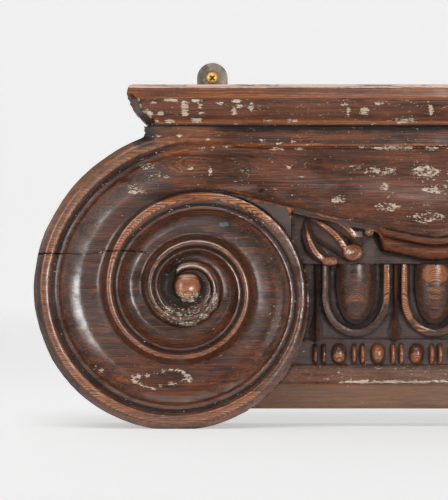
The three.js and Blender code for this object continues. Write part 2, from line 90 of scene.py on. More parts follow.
def lattice_noise(x, z, wide, tall, seed):
    """Smooth noise between -1 and 1 with cells `wide` by `tall`."""
    table = np.random.default_rng(seed).random((NOISE_CELLS, NOISE_CELLS)) * 2 - 1
    u = np.asarray(x, float) / wide + 31.3
    v = np.asarray(z, float) / tall + 17.7
    iu, iv = np.floor(u).astype(int), np.floor(v).astype(int)
    fu, fv = smooth(0, 1, u - iu), smooth(0, 1, v - iv)

    def corner(du, dv):
        return table[(iu + du) % NOISE_CELLS, (iv + dv) % NOISE_CELLS]

    low = mix(corner(0, 0), corner(1, 0), fu)
    high = mix(corner(0, 1), corner(1, 1), fu)
    return mix(low, high, fv)


def line_noise(along, cell, seed):
    """The same noise along one line."""
    return lattice_noise(along, 0 * along, cell, cell, seed)


def noise_share(x, z, wide, tall, seed):
    """The same noise, between 0 and 1."""
    return 0.5 + 0.5 * lattice_noise(x, z, wide, tall, seed)


def pairs(x, z):
    """Rows of [x, z], where either may be one number for all."""
    return np.stack(np.broadcast_arrays(x, z), -1)


def curve_through(knots, values, at):
    """A smooth curve with no overshoot through each row's knots (rising), read at one place per row."""
    step = np.maximum(np.diff(knots, axis=1), 1e-6)
    slope = np.diff(values, axis=1) / step
    before, after = slope[:, :-1], slope[:, 1:]
    same = before * after > 0
    total = np.where(same, before + after, 1.0)
    middle = np.where(same, 2 * before * after / total, 0.0)
    tangent = np.concatenate([slope[:, :1], middle, slope[:, -1:]], axis=1)
    index = (at[:, None] >= knots[:, 1:-1]).sum(axis=1)
    row = np.arange(len(at))
    width = step[row, index]
    t = np.clip((at - knots[row, index]) / width, 0, 1)
    a, b = values[row, index], values[row, index + 1]
    ta, tb = tangent[row, index] * width, tangent[row, index + 1] * width
    return (a * (1 + 2 * t) + ta * t) * (1 - t) ** 2 + (b * (3 - 2 * t) + tb * (t - 1)) * t * t


# ---- volute ----

SPIRAL_START = 90.0
SPIRAL_END = 1245.0
DYING = 60.0                   # over its last degrees the spiral sinks into the hollow round the eye
EYE_RADIUS = 8.8
EYE_FLOOR_RADIUS = 6.4
CORE_RADIUS = 26.0             # within this the hollow's floor fills whatever the spiral leaves
EYE_HOLLOW = 5.4               # how deep the hollow round the eye lies behind the face
BEAD_PART = 0.36               # the bead's breadth as a share of the rim's
LAST_RELIEF = 0.55             # the relief of the last turn as a share of the first's
LAST_SINK = 1.2                # how much deeper the last turn's rim lies


def turns_at(angle):
    """Turns of the spiral from the far left of the eye; it starts at -0.25, above the eye."""
    return (angle - 180) / 360


def groove_radius(angle):
    """The groove between rim and bead: a spiral that tightens, a little oval and out of true."""
    turns = turns_at(angle)
    even = 83.3 - 44.3 * turns + 6.56 * turns * turns
    sag = 0.0725 * np.cos(np.radians(angle - 290))
    oval = 0.025 * np.cos(2 * np.radians(angle - 22.5))
    return even * (1 + sag + oval)


def rim_width(angle):
    """The rim's breadth, which narrows along the spiral."""
    turns = turns_at(angle)
    return mix(11.8, 8.4, smooth(0.3, 0.5, turns)) - 1.6 * np.maximum(0, turns - 0.75)


def foot_radius(angle):
    """The outer foot of the rim."""
    uneven = 0.3 * line_noise(angle, 7, 3) + 0.1 * line_noise(angle, 1.9, 4)
    return groove_radius(angle) + rim_width(angle) + uneven * smooth(0.8, 0.6, turns_at(angle))


def inner_radius(angle):
    """Where a turn's channel ends: at the foot of the next turn's rim, or at the eye."""
    past_end = smooth(SPIRAL_END - 360 - DYING, SPIRAL_END - 360, angle)
    return mix(foot_radius(np.minimum(angle + 360, SPIRAL_END)), EYE_FLOOR_RADIUS, past_end)


def turn_parts(angle):
    """A turn's groove radius, the breadths of its rim, bead and channel, and its inner radius."""
    groove, rim, inner = groove_radius(angle), rim_width(angle), inner_radius(angle)
    bead = BEAD_PART * rim
    return groove, rim, bead, groove - bead - inner, inner


def round_eye(radius, turn):
    """The places at a radius and an angle in radians about the left eye."""
    return pairs(EYE_X + radius * np.cos(turn), EYE_HEIGHT + radius * np.sin(turn))


# The rim's section: shares of its breadth from the groove, the same places where the rim is broad, and
# their depths behind the face on the free outer rim, on an inner rim, and on the last turn's.
RIM_SHARES = [1, 0.86, 0.66, 0.57, 0.5, 0.3, 0.235, 0.11, 0]
RIM_BROAD = [1, 0.985, 0.95, 0.9, 0.84, 0.54, 0.44, 0.2, 0]
RIM_FREE = [4.6, 2.3, 0.5, 0.06, 0, 0.12, 0.5, 2.3, 3.6]
RIM_TUCKED = [8, 5.6, 2.5, 0.5, 0.1, 0.0, 0.4, 1.9, 3.4]
RIM_ROUND = [6.5, 3.4, 1.6, 0.9, 0.5, 0.35, 0.5, 1.7, 3.3]
# Across the bead inside the groove, which is gone on the last turn, and across the channel.
BEAD_SHARES = [0.22, 0.55, 0.82, 1]
BEAD_DEPTHS = [3.3, 2.7, 2.6, 4.2]
BEAD_GONE = [6.2, 6.7, 7.2, 7.6]
CHANNEL_SHARES = [0.1, 0.22, 0.52, 0.8, 0.92]
CHANNEL_DEPTHS = [6.1, 7.9, 10, 9.7, 9.1]


def broad_rim(turn):
    """How nearly the rim has its broad section, which it keeps beside the canalis."""
    return smooth(0.42, 0.6, turn) * smooth(1.0, 0.82, turn)


def rim_radius(share, angle):
    """The radius at a share of the way over the rim, where its section is plain or broad."""
    broad_share = np.interp(share, RIM_SHARES[::-1], RIM_BROAD[::-1]) if share > 0 else share
    return groove_radius(angle) + rim_width(angle) * mix(share, broad_share, broad_rim(turns_at(angle)))


def relief(angle):
    """How high a turn's relief stands, as a share of the first turn's."""
    return mix(1, LAST_RELIEF, smooth(1.2, 2.4, turns_at(angle)))


def volute_depth(angle, radius):
    """Depth behind the face on the turn that `angle` (90 to 1245) names."""
    turn = turns_at(angle)
    groove, _, bead, channel, inner = turn_parts(angle)
    tucked = smooth(0.3, 0.6, turn)
    free = 1 - smooth(0.62, 0.8, turn)
    late = smooth(1.8, 2.4, turn)
    shallow = relief(angle)
    radii, depths = [], []
    for share, free_depth, tucked_depth, round_depth in zip(RIM_SHARES, RIM_FREE, RIM_TUCKED, RIM_ROUND):
        radii.append(rim_radius(share, angle))
        depth = mix(mix(free_depth, tucked_depth, tucked), round_depth, late)
        depths.append(depth * mix(1, shallow, smooth(0.55, 0.9, share)) + late * LAST_SINK)
    depths[0] = mix(RIM_TUCKED[0] * shallow, RIM_FREE[0], free)
    for share, depth, gone in zip(BEAD_SHARES, BEAD_DEPTHS, BEAD_GONE):
        radii.append(groove - share * bead)
        depths.append(mix(depth, gone, late) * shallow + late * LAST_SINK)
    for share, depth in zip(CHANNEL_SHARES, CHANNEL_DEPTHS):
        radii.append(groove - bead - share * channel)
        depths.append(mix(depth, EYE_HOLLOW / LAST_RELIEF, late) * shallow)
    radii.append(inner)
    ring_over = smooth(SPIRAL_END - 360, SPIRAL_END - 360 - DYING, angle)
    depths.append(mix(EYE_HOLLOW, RIM_TUCKED[0] * relief(angle + 360), ring_over))
    return curve_through(np.stack(radii[::-1], axis=1), np.stack(depths[::-1], axis=1), radius)


def eye_polar(x, z):
    """Radius and angle (90 to 450) about the left eye."""
    dx, dz = x - EYE_X, z - EYE_HEIGHT
    angle = np.degrees(np.arctan2(dz, dx))
    return np.hypot(dx, dz), np.where(angle < 90, angle + 360, angle)


def volute_out(x, z):
    """How far the left volute stands out, and -inf off it."""
    radius, angle = eye_polar(x, z)
    out = np.full(x.shape, -np.inf)
    for turn in range(4):
        on = angle + 360 * turn
        here = (on <= SPIRAL_END) & (radius <= foot_radius(on)) & (radius >= inner_radius(on))
        if here.any():
            fresh = FACE - volute_depth(on[here], radius[here])
            under = np.isfinite(out[here])
            sunk = smooth(SPIRAL_END - DYING, SPIRAL_END - 2, on[here]) * under
            out[here] = mix(fresh, np.where(under, out[here], 0), sunk)
    out[(radius < CORE_RADIUS) & ~np.isfinite(out)] = FACE - EYE_HOLLOW
    bow = np.sqrt(np.clip(1 - (radius / EYE_RADIUS) ** 2, 0, 1))
    dome = FACE - 4.2 + (6.2 - 0.16 * (z - EYE_HEIGHT)) * bow
    return np.where(radius < EYE_RADIUS, np.maximum(out, dome), out)


# ---- canalis ----

BAND_FOOT = BLOCK_TOP - 13.0
CANALIS_DEPTH = 6.5
SOFFIT_OUT = 56.0
STEP_X = -88.6                 # the raised corner beside the volute has broken off square here
EDGE_KNOT = 15                 # which of the section's knots lies on the canalis' lower edge
# The shares of the way over the volute's rim, bead and channel that the section's knots run into.
ONTO_RIM = [0.9, 0.7, 0.5, 0.3, 0.11, 0]
ONTO_BEAD = [0.55, 1]
HOLLOW_SHARES = [0.1, 0.22, 0.38, 0.52, 0.7, 0.84, 0.93]


def lower_edge(x):
    """The height of the canalis' lower edge, which sags to the middle."""
    return 115.6 + 0.23 * np.hypot(x, 8)


def canalis_knots(x):
    """Heights, falling, and how far out, for the canalis' section at each x."""
    edge = lower_edge(x)
    roll = 1 - smooth(31.5, 36.5, np.abs(x))
    beside = smooth(-STEP_X - 0.2, -STEP_X + 0.3, np.abs(x))
    lip = mix(mix(2.2, 5.2, roll), 0.7, beside)
    fall = mix(mix(1.6, 8.6, roll), 0.5, beside)
    over = smooth(96, -EYE_X, np.abs(x))
    # Each knot is a height and a depth behind the face.
    plain = [
        (BLOCK_TOP, 0.2), (BLOCK_TOP - 1.2, 0), (BAND_FOOT + 3, 0), (BAND_FOOT + 1.3, 0.1),
        (BAND_FOOT + 0.5, 1.7), (BAND_FOOT - 0.2, 1.9), (BAND_FOOT - 1.2, 0.9), (BAND_FOOT - 2.4, 1.4),
    ]
    for share in HOLLOW_SHARES:
        bow = math.sin(math.pi * share) ** 0.9
        plain.append((mix(BAND_FOOT - 2.4, edge, share), 1 + CANALIS_DEPTH * bow))
    plain.append((edge + 0.5, 1.2))
    groove, rim, bead, channel, inner = turn_parts(SPIRAL_START)
    radii = [groove + rim * share for share in ONTO_RIM]
    radii += [groove - bead * share for share in ONTO_BEAD]
    radii += [groove - bead - channel * share for share in HOLLOW_SHARES]
    radii.append(inner + 0.01)
    heights, outs = [], []
    for (z, depth), radius in zip(plain, radii):
        curl_depth = volute_depth(np.array([SPIRAL_START]), np.array([radius]))[0]
        heights.append(np.minimum(mix(z, EYE_HEIGHT + radius, over), BLOCK_TOP - 0.001 * len(heights)))
        outs.append(FACE - mix(depth, curl_depth, over))
    foot = edge - lip
    tail = [
        (edge - 0.2, mix(1.3, 1.8, roll)), (edge - 0.9, mix(1.7, 0.9, roll)),
        (edge - lip * 0.75, mix(2.6, 1.4, roll)), (foot, mix(3.1, 4.2, roll)),
        (foot - 0.13 * fall, mix(3.3, 2.5, roll)), (foot - 0.45 * fall, mix(3.8, 1.4, roll)),
        (foot - 0.8 * fall, 3.8), (foot - fall, 7.5),
    ]
    shift = (heights[EDGE_KNOT] - (edge + 0.5)) * over
    for z, depth in tail:
        heights.append(z + shift)
        outs.append(FACE - mix(depth, 8, over))
    return np.stack(heights, 1), np.stack(outs, 1)


def canalis_out(x, z):
    """How far the canalis stands out right of the left eye, and -inf off it."""
    out = np.full(x.shape, -np.inf)
    near = (x >= EYE_X) & (z > 95)
    if near.any():
        heights, outs = canalis_knots(x[near])
        inside = z[near] >= heights[:, -1]
        value = curve_through(heights[:, ::-1], outs[:, ::-1], z[near])
        out[near] = np.where(inside, value, -np.inf)
    return out


# ---- echinus ----

FASCIA_FOOT = 11.2
FASCIA_TOP = 26.6
ASTRAGAL_FOOT = 38.4
ASTRAGAL_TOP = 52.0
ECHINUS_FOOT = 54.0
ECHINUS_TOP = 101.0
ECHINUS_OUT = 43.0             # how far out its ground lies at its foot
EGG_MIDDLE, EGG_HALF, EGG_ABOVE, EGG_BELOW = 87.0, 12.4, 36.0, 24.0
SHELL_HALF, SHELL_WIDTH, SHELL_BEND, SHELL_FOOT = 18.9, 4.2, 82.0, 58.5
# A dart's height and half its breadth there.
DART_WIDTHS = [(52.5, 1.2), (54.5, 2.4), (57, 4.1), (60.5, 4.3), (64, 2.9), (70, 1.5), (78, 1.2),
               (102, 1.3)]
BEAD_MIDDLE = (ASTRAGAL_FOOT + ASTRAGAL_TOP) / 2
BEAD_HALF = 4.5
REEL_HALF = 1.25
BEAD_HALF_HEIGHT = (ASTRAGAL_TOP - ASTRAGAL_FOOT) / 2 - 0.3
# The height and how far out of each edge, from the block's foot to the echinus.
GROUND_PROFILE = [
    (FASCIA_FOOT, 43.4), (FASCIA_FOOT + 0.8, 44), (FASCIA_TOP - 1, 44), (FASCIA_TOP, 43.4),
    (FASCIA_TOP + 0.5, 43.2), (FASCIA_TOP + 0.9, 45.3), (FASCIA_TOP + 1.6, 45.5),
    (ASTRAGAL_FOOT - 1, 45.4), (ASTRAGAL_FOOT - 0.2, 44.8), (ASTRAGAL_FOOT + 0.5, 43.4),
    (ASTRAGAL_TOP - 0.2, 43.2), (ASTRAGAL_TOP + 0.3, 43.4), (ECHINUS_FOOT - 0.2, 43.6),
    (ECHINUS_FOOT + 0.6, 43),
]


def echinus_ground(z):
    """How far out the echinus' swelling ground lies."""
    rise = np.clip((z - ECHINUS_FOOT) / (ECHINUS_TOP - ECHINUS_FOOT), 0, 1)
    return ECHINUS_OUT + 9 * np.sqrt(1 - (1 - rise) ** 2)


def ground_out(x, z):
    """How far out the ground lies from the block's foot up to the canalis, and -inf beside it."""
    low = np.interp(z, *zip(*GROUND_PROFILE))
    out = np.where(z < ECHINUS_FOOT + 0.6, low, echinus_ground(z) - 0.4)
    out = np.where(z > ECHINUS_TOP, SOFFIT_OUT - 0.03 * (z - ECHINUS_TOP), out)
    wide = (np.abs(x) <= 108) | ((np.abs(x) <= 125) & (z <= FASCIA_TOP) & (z >= FASCIA_FOOT))
    return np.where(wide & (z >= FASCIA_FOOT), out, -np.inf)


def egg_out(dx, z):
    """How far out an egg stands, `dx` from its middle."""
    tall = np.where(z > EGG_MIDDLE, EGG_ABOVE, EGG_BELOW)
    room = 1 - (dx / EGG_HALF) ** 2 - ((z - EGG_MIDDLE) / tall) ** 2
    out = 48.4 + 0.13 * (z - EGG_MIDDLE) + 13.4 * np.sqrt(np.maximum(room, 0))
    return np.where((room > 0) & (z < ECHINUS_TOP), out, -np.inf)


def shell_across(dx, z):
    """Distance outwards from the middle of the shell's U-shaped edge."""
    low = np.minimum(z - SHELL_BEND, 0)
    tall = SHELL_BEND - SHELL_FOOT
    level = np.hypot(dx / SHELL_HALF, low / tall)
    steep = np.hypot(dx / SHELL_HALF ** 2, low / tall ** 2) / np.maximum(level, 1e-6)
    return (level - 1) / np.maximum(steep, 1e-6)


def shell_width(z):
    """The breadth of the shell's edge, which grows towards its foot."""
    return SHELL_WIDTH + 1.3 * smooth(92, 66, z)


def shell_out(dx, z):
    """How far out the shell round an egg and the bowl inside it lie, and which places are on the shell."""
    across = shell_across(dx, z) / shell_width(z)
    on_shell = np.abs(across) <= 0.5
    ground = echinus_ground(z)
    face = ground + 6.4 + 0.9 * across - 1.1 * (2 * across) ** 4
    edge = smooth(0.5, 0.4, np.abs(across))
    bowl = np.where(across < -0.5, -2.6 * smooth(-2.4, -1.2, across) * smooth(-0.45, -1.0, across), 0)
    out = np.where(on_shell, mix(ground - 0.5, face, edge), ground + bowl)
    return np.where(z < ECHINUS_TOP, out, -np.inf), on_shell


def dart_out(dx, z):
    """How far out a dart stands, `dx` from its middle."""
    half = np.interp(z, *zip(*DART_WIDTHS))
    share = np.abs(dx) / half
    out = echinus_ground(z) + mix(6.2, 0.2, share ** 0.9)
    return np.where((share < 1) & (z < ECHINUS_TOP) & (z > 53), out, -np.inf)


def bead_out(dx, z):
    """How far out a bead of the string stands."""
    room = 1 - (np.abs(dx) / BEAD_HALF) ** 2.6 - (np.abs(z - BEAD_MIDDLE) / BEAD_HALF_HEIGHT) ** 2.6
    return np.where(room > 0, ECHINUS_OUT + 7.4 * np.sqrt(np.maximum(room, 0)), -np.inf)


def reel_out(dx, z):
    """How far out one of the thin discs between the beads stands."""
    room = 1 - ((z - BEAD_MIDDLE) / BEAD_HALF_HEIGHT) ** 2
    across = np.clip(1 - (dx / REEL_HALF) ** 2, 0, 1)
    out = ECHINUS_OUT + 7 * np.sqrt(np.maximum(room, 0)) - 1.6 * (1 - np.sqrt(across))
    return np.where((room > 0) & (np.abs(dx) < REEL_HALF), out, -np.inf)


def spread(count, pitch):
    """Places a pitch apart, with their middle at 0."""
    return [(i - (count - 1) / 2) * pitch for i in range(count)]


STRING_MIDDLE, STRING_PITCH = 1.5, 24.1     # the string of beads isn't quite in step with the eggs
REEL_GAP = 5.2
EGGS = spread(3, EGG_PITCH)
DARTS = spread(4, EGG_PITCH)
BEADS = [STRING_MIDDLE + x for x in spread(6, STRING_PITCH)]
REELS = [STRING_MIDDLE + x + side * REEL_GAP / 2 for x in spread(7, STRING_PITCH) for side in (-1, 1)]


def echinus_out(x, z):
    """How far out everything below the canalis stands, and -inf beside it."""
    out = ground_out(x, z)
    in_echinus = (z > ECHINUS_FOOT) & (z < ECHINUS_TOP)
    for middle in EGGS:
        shell, on_shell = shell_out(x - middle, z)
        near = in_echinus & (np.abs(x - middle) < EGG_PITCH / 2)
        out = np.where(near & on_shell, np.maximum(out, shell), out)
        out = np.where(near & ~on_shell & (shell_across(x - middle, z) < 0), shell, out)
        out = np.maximum(out, egg_out(x - middle, z))
    for make, middles in ((dart_out, DARTS), (bead_out, BEADS), (reel_out, REELS)):
        for middle in middles:
            out = np.maximum(out, make(x - middle, z))
    return out


# ---- leaf ----
# Each lobe of the half palmette: a ridge from stem to tip, steep on its upper side and scooped below, that
# ends in a rolled ball. A path's points are [x, out, z]. A ball is its middle, as [x, out, z], and half its
# size along x and z.

LOBES = [
    {"path": [(-81, 57, 133), (-58, 69, 130.5), (-50, 66.5, 118.5)], "ball": (-41, 63.8, 120.8, 2.9, 2.7),
     "scoop": 5, "blade": 12},
    {"path": [(-80, 57, 131), (-62, 70, 123), (-55.5, 67, 110.5)], "ball": (-51, 64.8, 108.3, 6.3, 5.3),
     "scoop": 6, "blade": 14},
    {"path": [(-80, 57, 127), (-78, 68, 110), (-70, 65.5, 104.8)], "ball": (-65.2, 62, 102.9, 5.2, 3),
     "scoop": 5, "blade": 6},
]


def lobe_points(path, count=160):
    """Points along a lobe's ridge, a curve from its first point to its last."""
    t = np.linspace(0, 1, count)[:, None]
    a, b, c = (np.array(p, float) for p in path)
    return a * (1 - t) ** 2 + 2 * b * t * (1 - t) + c * t * t


def near_leaf(x, z):
    """The indices of the places that the left leaf may cover."""
    return np.nonzero((x > -96) & (x < -34) & (z > 97) & (z < 138))[0]


def lobe_out(lobe, x, z):
    """How far out one lobe's blade stands."""
    line = lobe_points(lobe["path"])
    last = len(line) - 1
    index = ((x[:, None] - line[None, :, 0]) ** 2 + (z[:, None] - line[None, :, 2]) ** 2).argmin(axis=1)
    along = np.gradient(line, axis=0)[index]
    length = np.hypot(along[:, 0], along[:, 2])
    dx, dz = x - line[index, 0], z - line[index, 2]
    side = (dx * along[:, 2] - dz * along[:, 0]) / length
    past = np.abs(dx * along[:, 0] + dz * along[:, 2]) / length * ((index == 0) | (index == last))
    share = index / last
    width = mix(1.3, 2.7, smooth(0, 0.6, share))
    above = 9 * smooth(0.4 * width, 1.4 + 1.2 * width, -side)
    scooped = np.maximum(side - 0.55 * width, 0)
    below = lobe["scoop"] * (1 - np.exp(-scooped / (1.2 + width)))
    below += 9 * smooth(0.55, 1.25, side / (lobe["blade"] * mix(1, 0.45, share * share)))
    crown = 0.7 * np.minimum(np.abs(side) / width, 1) ** 2
    return line[index, 1] - np.where(side < 0, above, below) - crown - 1.3 * past


def ball_out(ball, x, z):
    """A lobe's rolled end, with a spiral groove."""
    middle_x, middle_out, middle_z, half_x, half_z = ball
    across, up = (x - middle_x) / half_x, (z - middle_z) / half_z
    room = 1 - across ** 2 - up ** 2
    curl = np.hypot(across + 0.12, up - 0.05) * 2.1 - np.arctan2(up - 0.05, across + 0.12) / (2 * math.pi)
    groove = 0.06 * half_z * (1 - np.cos(2 * math.pi * curl)) * smooth(0.02, 0.25, room)
    roll = middle_out + 0.8 * half_z * np.sqrt(np.maximum(room, 0)) - groove
    return np.where(room > 0, roll, -np.inf)


def leaf_out(x, z):
    """How far the left half palmette stands out, and -inf far from it."""
    out = np.full(x.shape, -np.inf)
    near = near_leaf(x, z)
    for lobe in LOBES if len(near) else []:
        made = np.maximum(lobe_out(lobe, x[near], z[near]), ball_out(lobe["ball"], x[near], z[near]))
        out[near] = np.maximum(out[near], made)
    return out


# ---- the whole front ----

# The crack through the volute's outer end, from its left.
CRACK = [(-250, 107.4), (-243, 107.5), (-236, 107.9), (-228, 107.5), (-214, 107.3), (-203, 109.2),
         (-196, 109.6), (-187, 109), (-177, 108.4)]
CRACK_END = -170.0


def crack_z(x):
    """The height of the crack at each x."""
    xs, zs = zip(*CRACK)
    return np.interp(x, xs, zs) + 0.25 * line_noise(x, 3.1, 5)


def crack_depth(x):
    """How deep the crack is: open at the outer edge and in the middle, a hairline between."""
    open_edge = smooth(-224, -231, x)
    open_middle = smooth(-208, -201, x) * smooth(-176, -186, x)
    return 0.5 * smooth(-175, -178, x) + 4 * open_edge + 2.4 * open_middle


def corner_out(x, z):
    """The flat corner left standing between the canalis and the volute, up to where it is broken off."""
    out = np.full(x.shape, -np.inf)
    radius, angle = eye_polar(x, z)
    near = (x < STEP_X) & (x > EYE_X + 8) & (radius > foot_radius(angle)) & (angle > 360) & (z < 150)
    if near.any():
        top = canalis_knots(x[near])[0][:, EDGE_KNOT]
        level = mix(63, 69.6, smooth(-146, -112, x[near])) - 0.32 * (top - z[near])
        out[near] = np.where(z[near] < top - 0.3, level, -np.inf)
    return out


def block_corner(x, z, reach, whole):
    """How near each place is to the block's worn upper left corner: 1 within `whole`, 0 beyond `reach`."""
    return smooth(reach, whole, np.hypot(x + BLOCK_HALF, z - BLOCK_TOP + 4))


def front_out(x, z):
    """How far the carved front stands out at each place of the whole block."""
    x, z = np.atleast_1d(np.asarray(x, float)), np.atleast_1d(np.asarray(z, float))
    left = -np.abs(x)
    out = echinus_out(x, z)
    for make in (volute_out, canalis_out, leaf_out, corner_out):
        out = np.maximum(out, make(left, z))
    shoulder = (np.abs(x) <= BLOCK_HALF) & (z >= BAND_FOOT + 6)
    out = np.where(shoulder, np.maximum(out, FACE - JOINT), out)
    for amount, wide, tall, seed in ((0.28, 26, 15, 11), (0.12, 8, 5, 12), (0.05, 2.7, 2.2, 13)):
        out = out + amount * lattice_noise(x, z, wide, tall, seed)
    corner = block_corner(x, z, 9, 2)
    out = out - 0.3 - corner * (0.9 + 0.9 * lattice_noise(x, z, 1.8, 1.3, 14))
    crack = crack_depth(x) * (x < CRACK_END) * smooth(0.42, 0.12, np.abs(z - crack_z(x)))
    return np.minimum(out - crack, FACE + 2)


# ---- where the front's points lie ----
# Points of the left half, as rows of [x, z]. A point too close to an earlier one is dropped, so their order
# matters.

RIM_ROWS = [1, 0.93, 0.86, 0.76, 0.66, 0.61, 0.57, 0.52, 0.42, 0.31, 0.265, 0.235, 0.17, 0.11, 0.04, -0.03]
BEAD_ROWS = [0.22, 0.42, 0.62, 0.8, 0.9, 1]
CHANNEL_ROWS = [0.05, 0.11, 0.17, 0.24, 0.32, 0.41, 0.5, 0.6, 0.7, 0.79, 0.87, 0.94]


def spiral_stations():
    """The angles of the spiral's rows of points, closest together on the outer turns."""
    angles, angle = [], SPIRAL_START
    while angle <= SPIRAL_END:
        angles.append(angle)
        turn = turns_at(angle)
        angle += mix(1.15, 1.7, smooth(0.5, 1.3, turn)) + 1.2 * smooth(1.5, 2.6, turn)
    return np.array(angles)


def volute_rows():
    """Points along the spiral, in rows that follow its edges."""
    angle = spiral_stations()
    groove, _, bead, channel, _ = turn_parts(angle)
    radii = [rim_radius(share, angle) - (0.12 if share == 1 else 0) for share in RIM_ROWS]
    radii += [groove - bead * share for share in BEAD_ROWS]
    radii += [groove - bead - channel * share for share in CHANNEL_ROWS]
    radius = np.array(radii)
    keep = np.ones(radius.shape, bool)
    every_other = np.arange(len(CHANNEL_ROWS)) % 2 == 0
    keep[-len(CHANNEL_ROWS):] &= (channel > 9)[None, :] | every_other[:, None]
    return round_eye(radius, np.radians(angle))[keep]


def eye_rows():
    """Rings of points on the eye."""
    places = [[[EYE_X, EYE_HEIGHT]]]
    rings = ((1.6, 8), (3.2, 14), (4.8, 20), (6.2, 28), (7.3, 34), (8.1, 38), (8.6, 40), (8.95, 40))
    for radius, count in rings:
        places.append(round_eye(radius, np.linspace(0, 2 * math.pi, count, endpoint=False)))
    return np.concatenate(places)


def side_of_volute():
    """Rows just off the volute's foot, where the surface drops to the ground beside it."""
    angle = spiral_stations()
    angle = angle[(angle > 293) & (angle < 452)]
    radius = foot_radius(angle) + np.array([[0.2], [1.3]])
    return round_eye(radius, np.radians(angle)).reshape(-1, 2)


def canalis_rows():
    """Points along the canalis' knots, and between them."""
    x = np.concatenate([np.arange(EYE_X + 0.8, -58, 1.6), np.arange(-58, -0.4, 1.5)])
    heights, _ = canalis_knots(x)
    rows = [heights[:, 1:]]
    # Rows between knots: the first knot, the last one, and the share of the way to the next.
    for first, last, share in ((7, EDGE_KNOT, 0.33), (7, EDGE_KNOT, 0.67), (1, 3, 0.5), (19, 23, 0.5)):
        rows.append(mix(heights[:, first:last], heights[:, first + 1:last + 1], share))
    rows.append(heights[:, -1:] - 0.25)
    return pairs(x[:, None], np.concatenate(rows, axis=1)).reshape(-1, 2)


def grid(x0, x1, z0, z1, step, seed):
    """Points all over a rectangle, each shaken a little."""
    x, z = np.meshgrid(np.arange(x0, x1, step), np.arange(z0, z1, step), indexing="ij")
    shake = (np.random.default_rng(seed).random((2,) + x.shape) - 0.5) * step * 0.5
    return pairs(x + shake[0], z + shake[1]).reshape(-1, 2)


def ring_points(middle_x, middle_z, half_x, half_z, count, start=0.0):
    """Points on an oval, from the angle `start` to a whole turn."""
    turn = np.linspace(start, 2 * math.pi, count)
    return pairs(middle_x + half_x * np.cos(turn), middle_z + half_z * np.sin(turn))


def echinus_rows():
    """Points along the edges of the eggs, shells and darts."""
    places = []
    upright = np.arange(SHELL_BEND + 0.9, ECHINUS_TOP - 0.1, 0.95)
    for middle in [x for x in EGGS if x <= 0]:
        for across in (-0.56, -0.47, -0.4, -0.2, 0, 0.2, 0.4, 0.47, 0.56):
            wide = SHELL_HALF + across * shell_width(SHELL_BEND)
            tall = SHELL_BEND - SHELL_FOOT + across * shell_width(SHELL_FOOT)
            places.append(ring_points(middle, SHELL_BEND, wide, tall, 74, math.pi))
            for side in (-1, 1):
                places.append(pairs(middle + side * (SHELL_HALF + across * shell_width(upright)), upright))
        for level in (0.86, 0.93, 0.97, 0.995, 1.03):
            turn = np.linspace(-math.pi, math.pi, 96)
            z = EGG_MIDDLE + level * np.where(turn > 0, EGG_ABOVE, EGG_BELOW) * np.sin(turn)
            ring = pairs(middle + EGG_HALF * level * np.cos(turn), z)
            places.append(ring[z < ECHINUS_TOP - 0.3])
    z = np.arange(53.4, ECHINUS_TOP - 0.1, 0.8)
    half = np.interp(z, *zip(*DART_WIDTHS))
    for middle in [x for x in DARTS if x <= 0]:
        for share in (-1.08, -0.97, -0.5, 0, 0.5, 0.97, 1.08):
            places.append(pairs(middle + share * half, z))
    for z in (ECHINUS_TOP - 0.12, ECHINUS_TOP + 0.12):
        places.append(pairs(np.arange(-108, -0.4, 0.9), z))
    return np.concatenate(places)


def string_rows():
    """Points over the beads and reels, along the whole string."""
    places = []
    turn = np.linspace(0, 2 * math.pi, 40)
    across, up = (np.sign(part) * np.abs(part) ** 0.77 for part in (np.cos(turn), np.sin(turn)))
    for middle in BEADS:
        for level in (0.35, 0.65, 0.85, 0.95, 0.995, 1.05):
            x = middle + BEAD_HALF * level * across
            places.append(pairs(x, BEAD_MIDDLE + BEAD_HALF_HEIGHT * level * up))
    z = np.linspace(BEAD_MIDDLE - BEAD_HALF_HEIGHT, BEAD_MIDDLE + BEAD_HALF_HEIGHT, 17)
    for middle in REELS:
        for dx in (-1.45, -1.18, -0.7, 0, 0.7, 1.18, 1.45):
            places.append(pairs(middle + dx, z))
    return np.concatenate(places)


def leaf_rows():
    """Points along the lobes' ridges and round their balls."""
    places = []
    for lobe in LOBES:
        line = lobe_points(lobe["path"], 44)
        along = np.gradient(line, axis=0)
        length = np.hypot(along[:, 0], along[:, 2])
        across = pairs(along[:, 2], -along[:, 0]) / length[:, None]
        for shift in (-2.8, -1.9, -1.2, -0.6, 0, 0.6, 1.2, 1.8):
            places.append(line[:, [0, 2]] + across * shift)
        middle_x, _, middle_z, half_x, half_z = lobe["ball"]
        for level in (0.3, 0.6, 0.8, 0.92, 0.99, 1.06):
            places.append(ring_points(middle_x, middle_z, half_x * level, half_z * level, 34))
    return np.concatenate(places)


def edge_rows():
    """Rows along the straight edges of the block's foot."""
    return np.concatenate([pairs(np.arange(-124.6, -0.4, 1.5), z) for z, _ in GROUND_PROFILE[1:]])


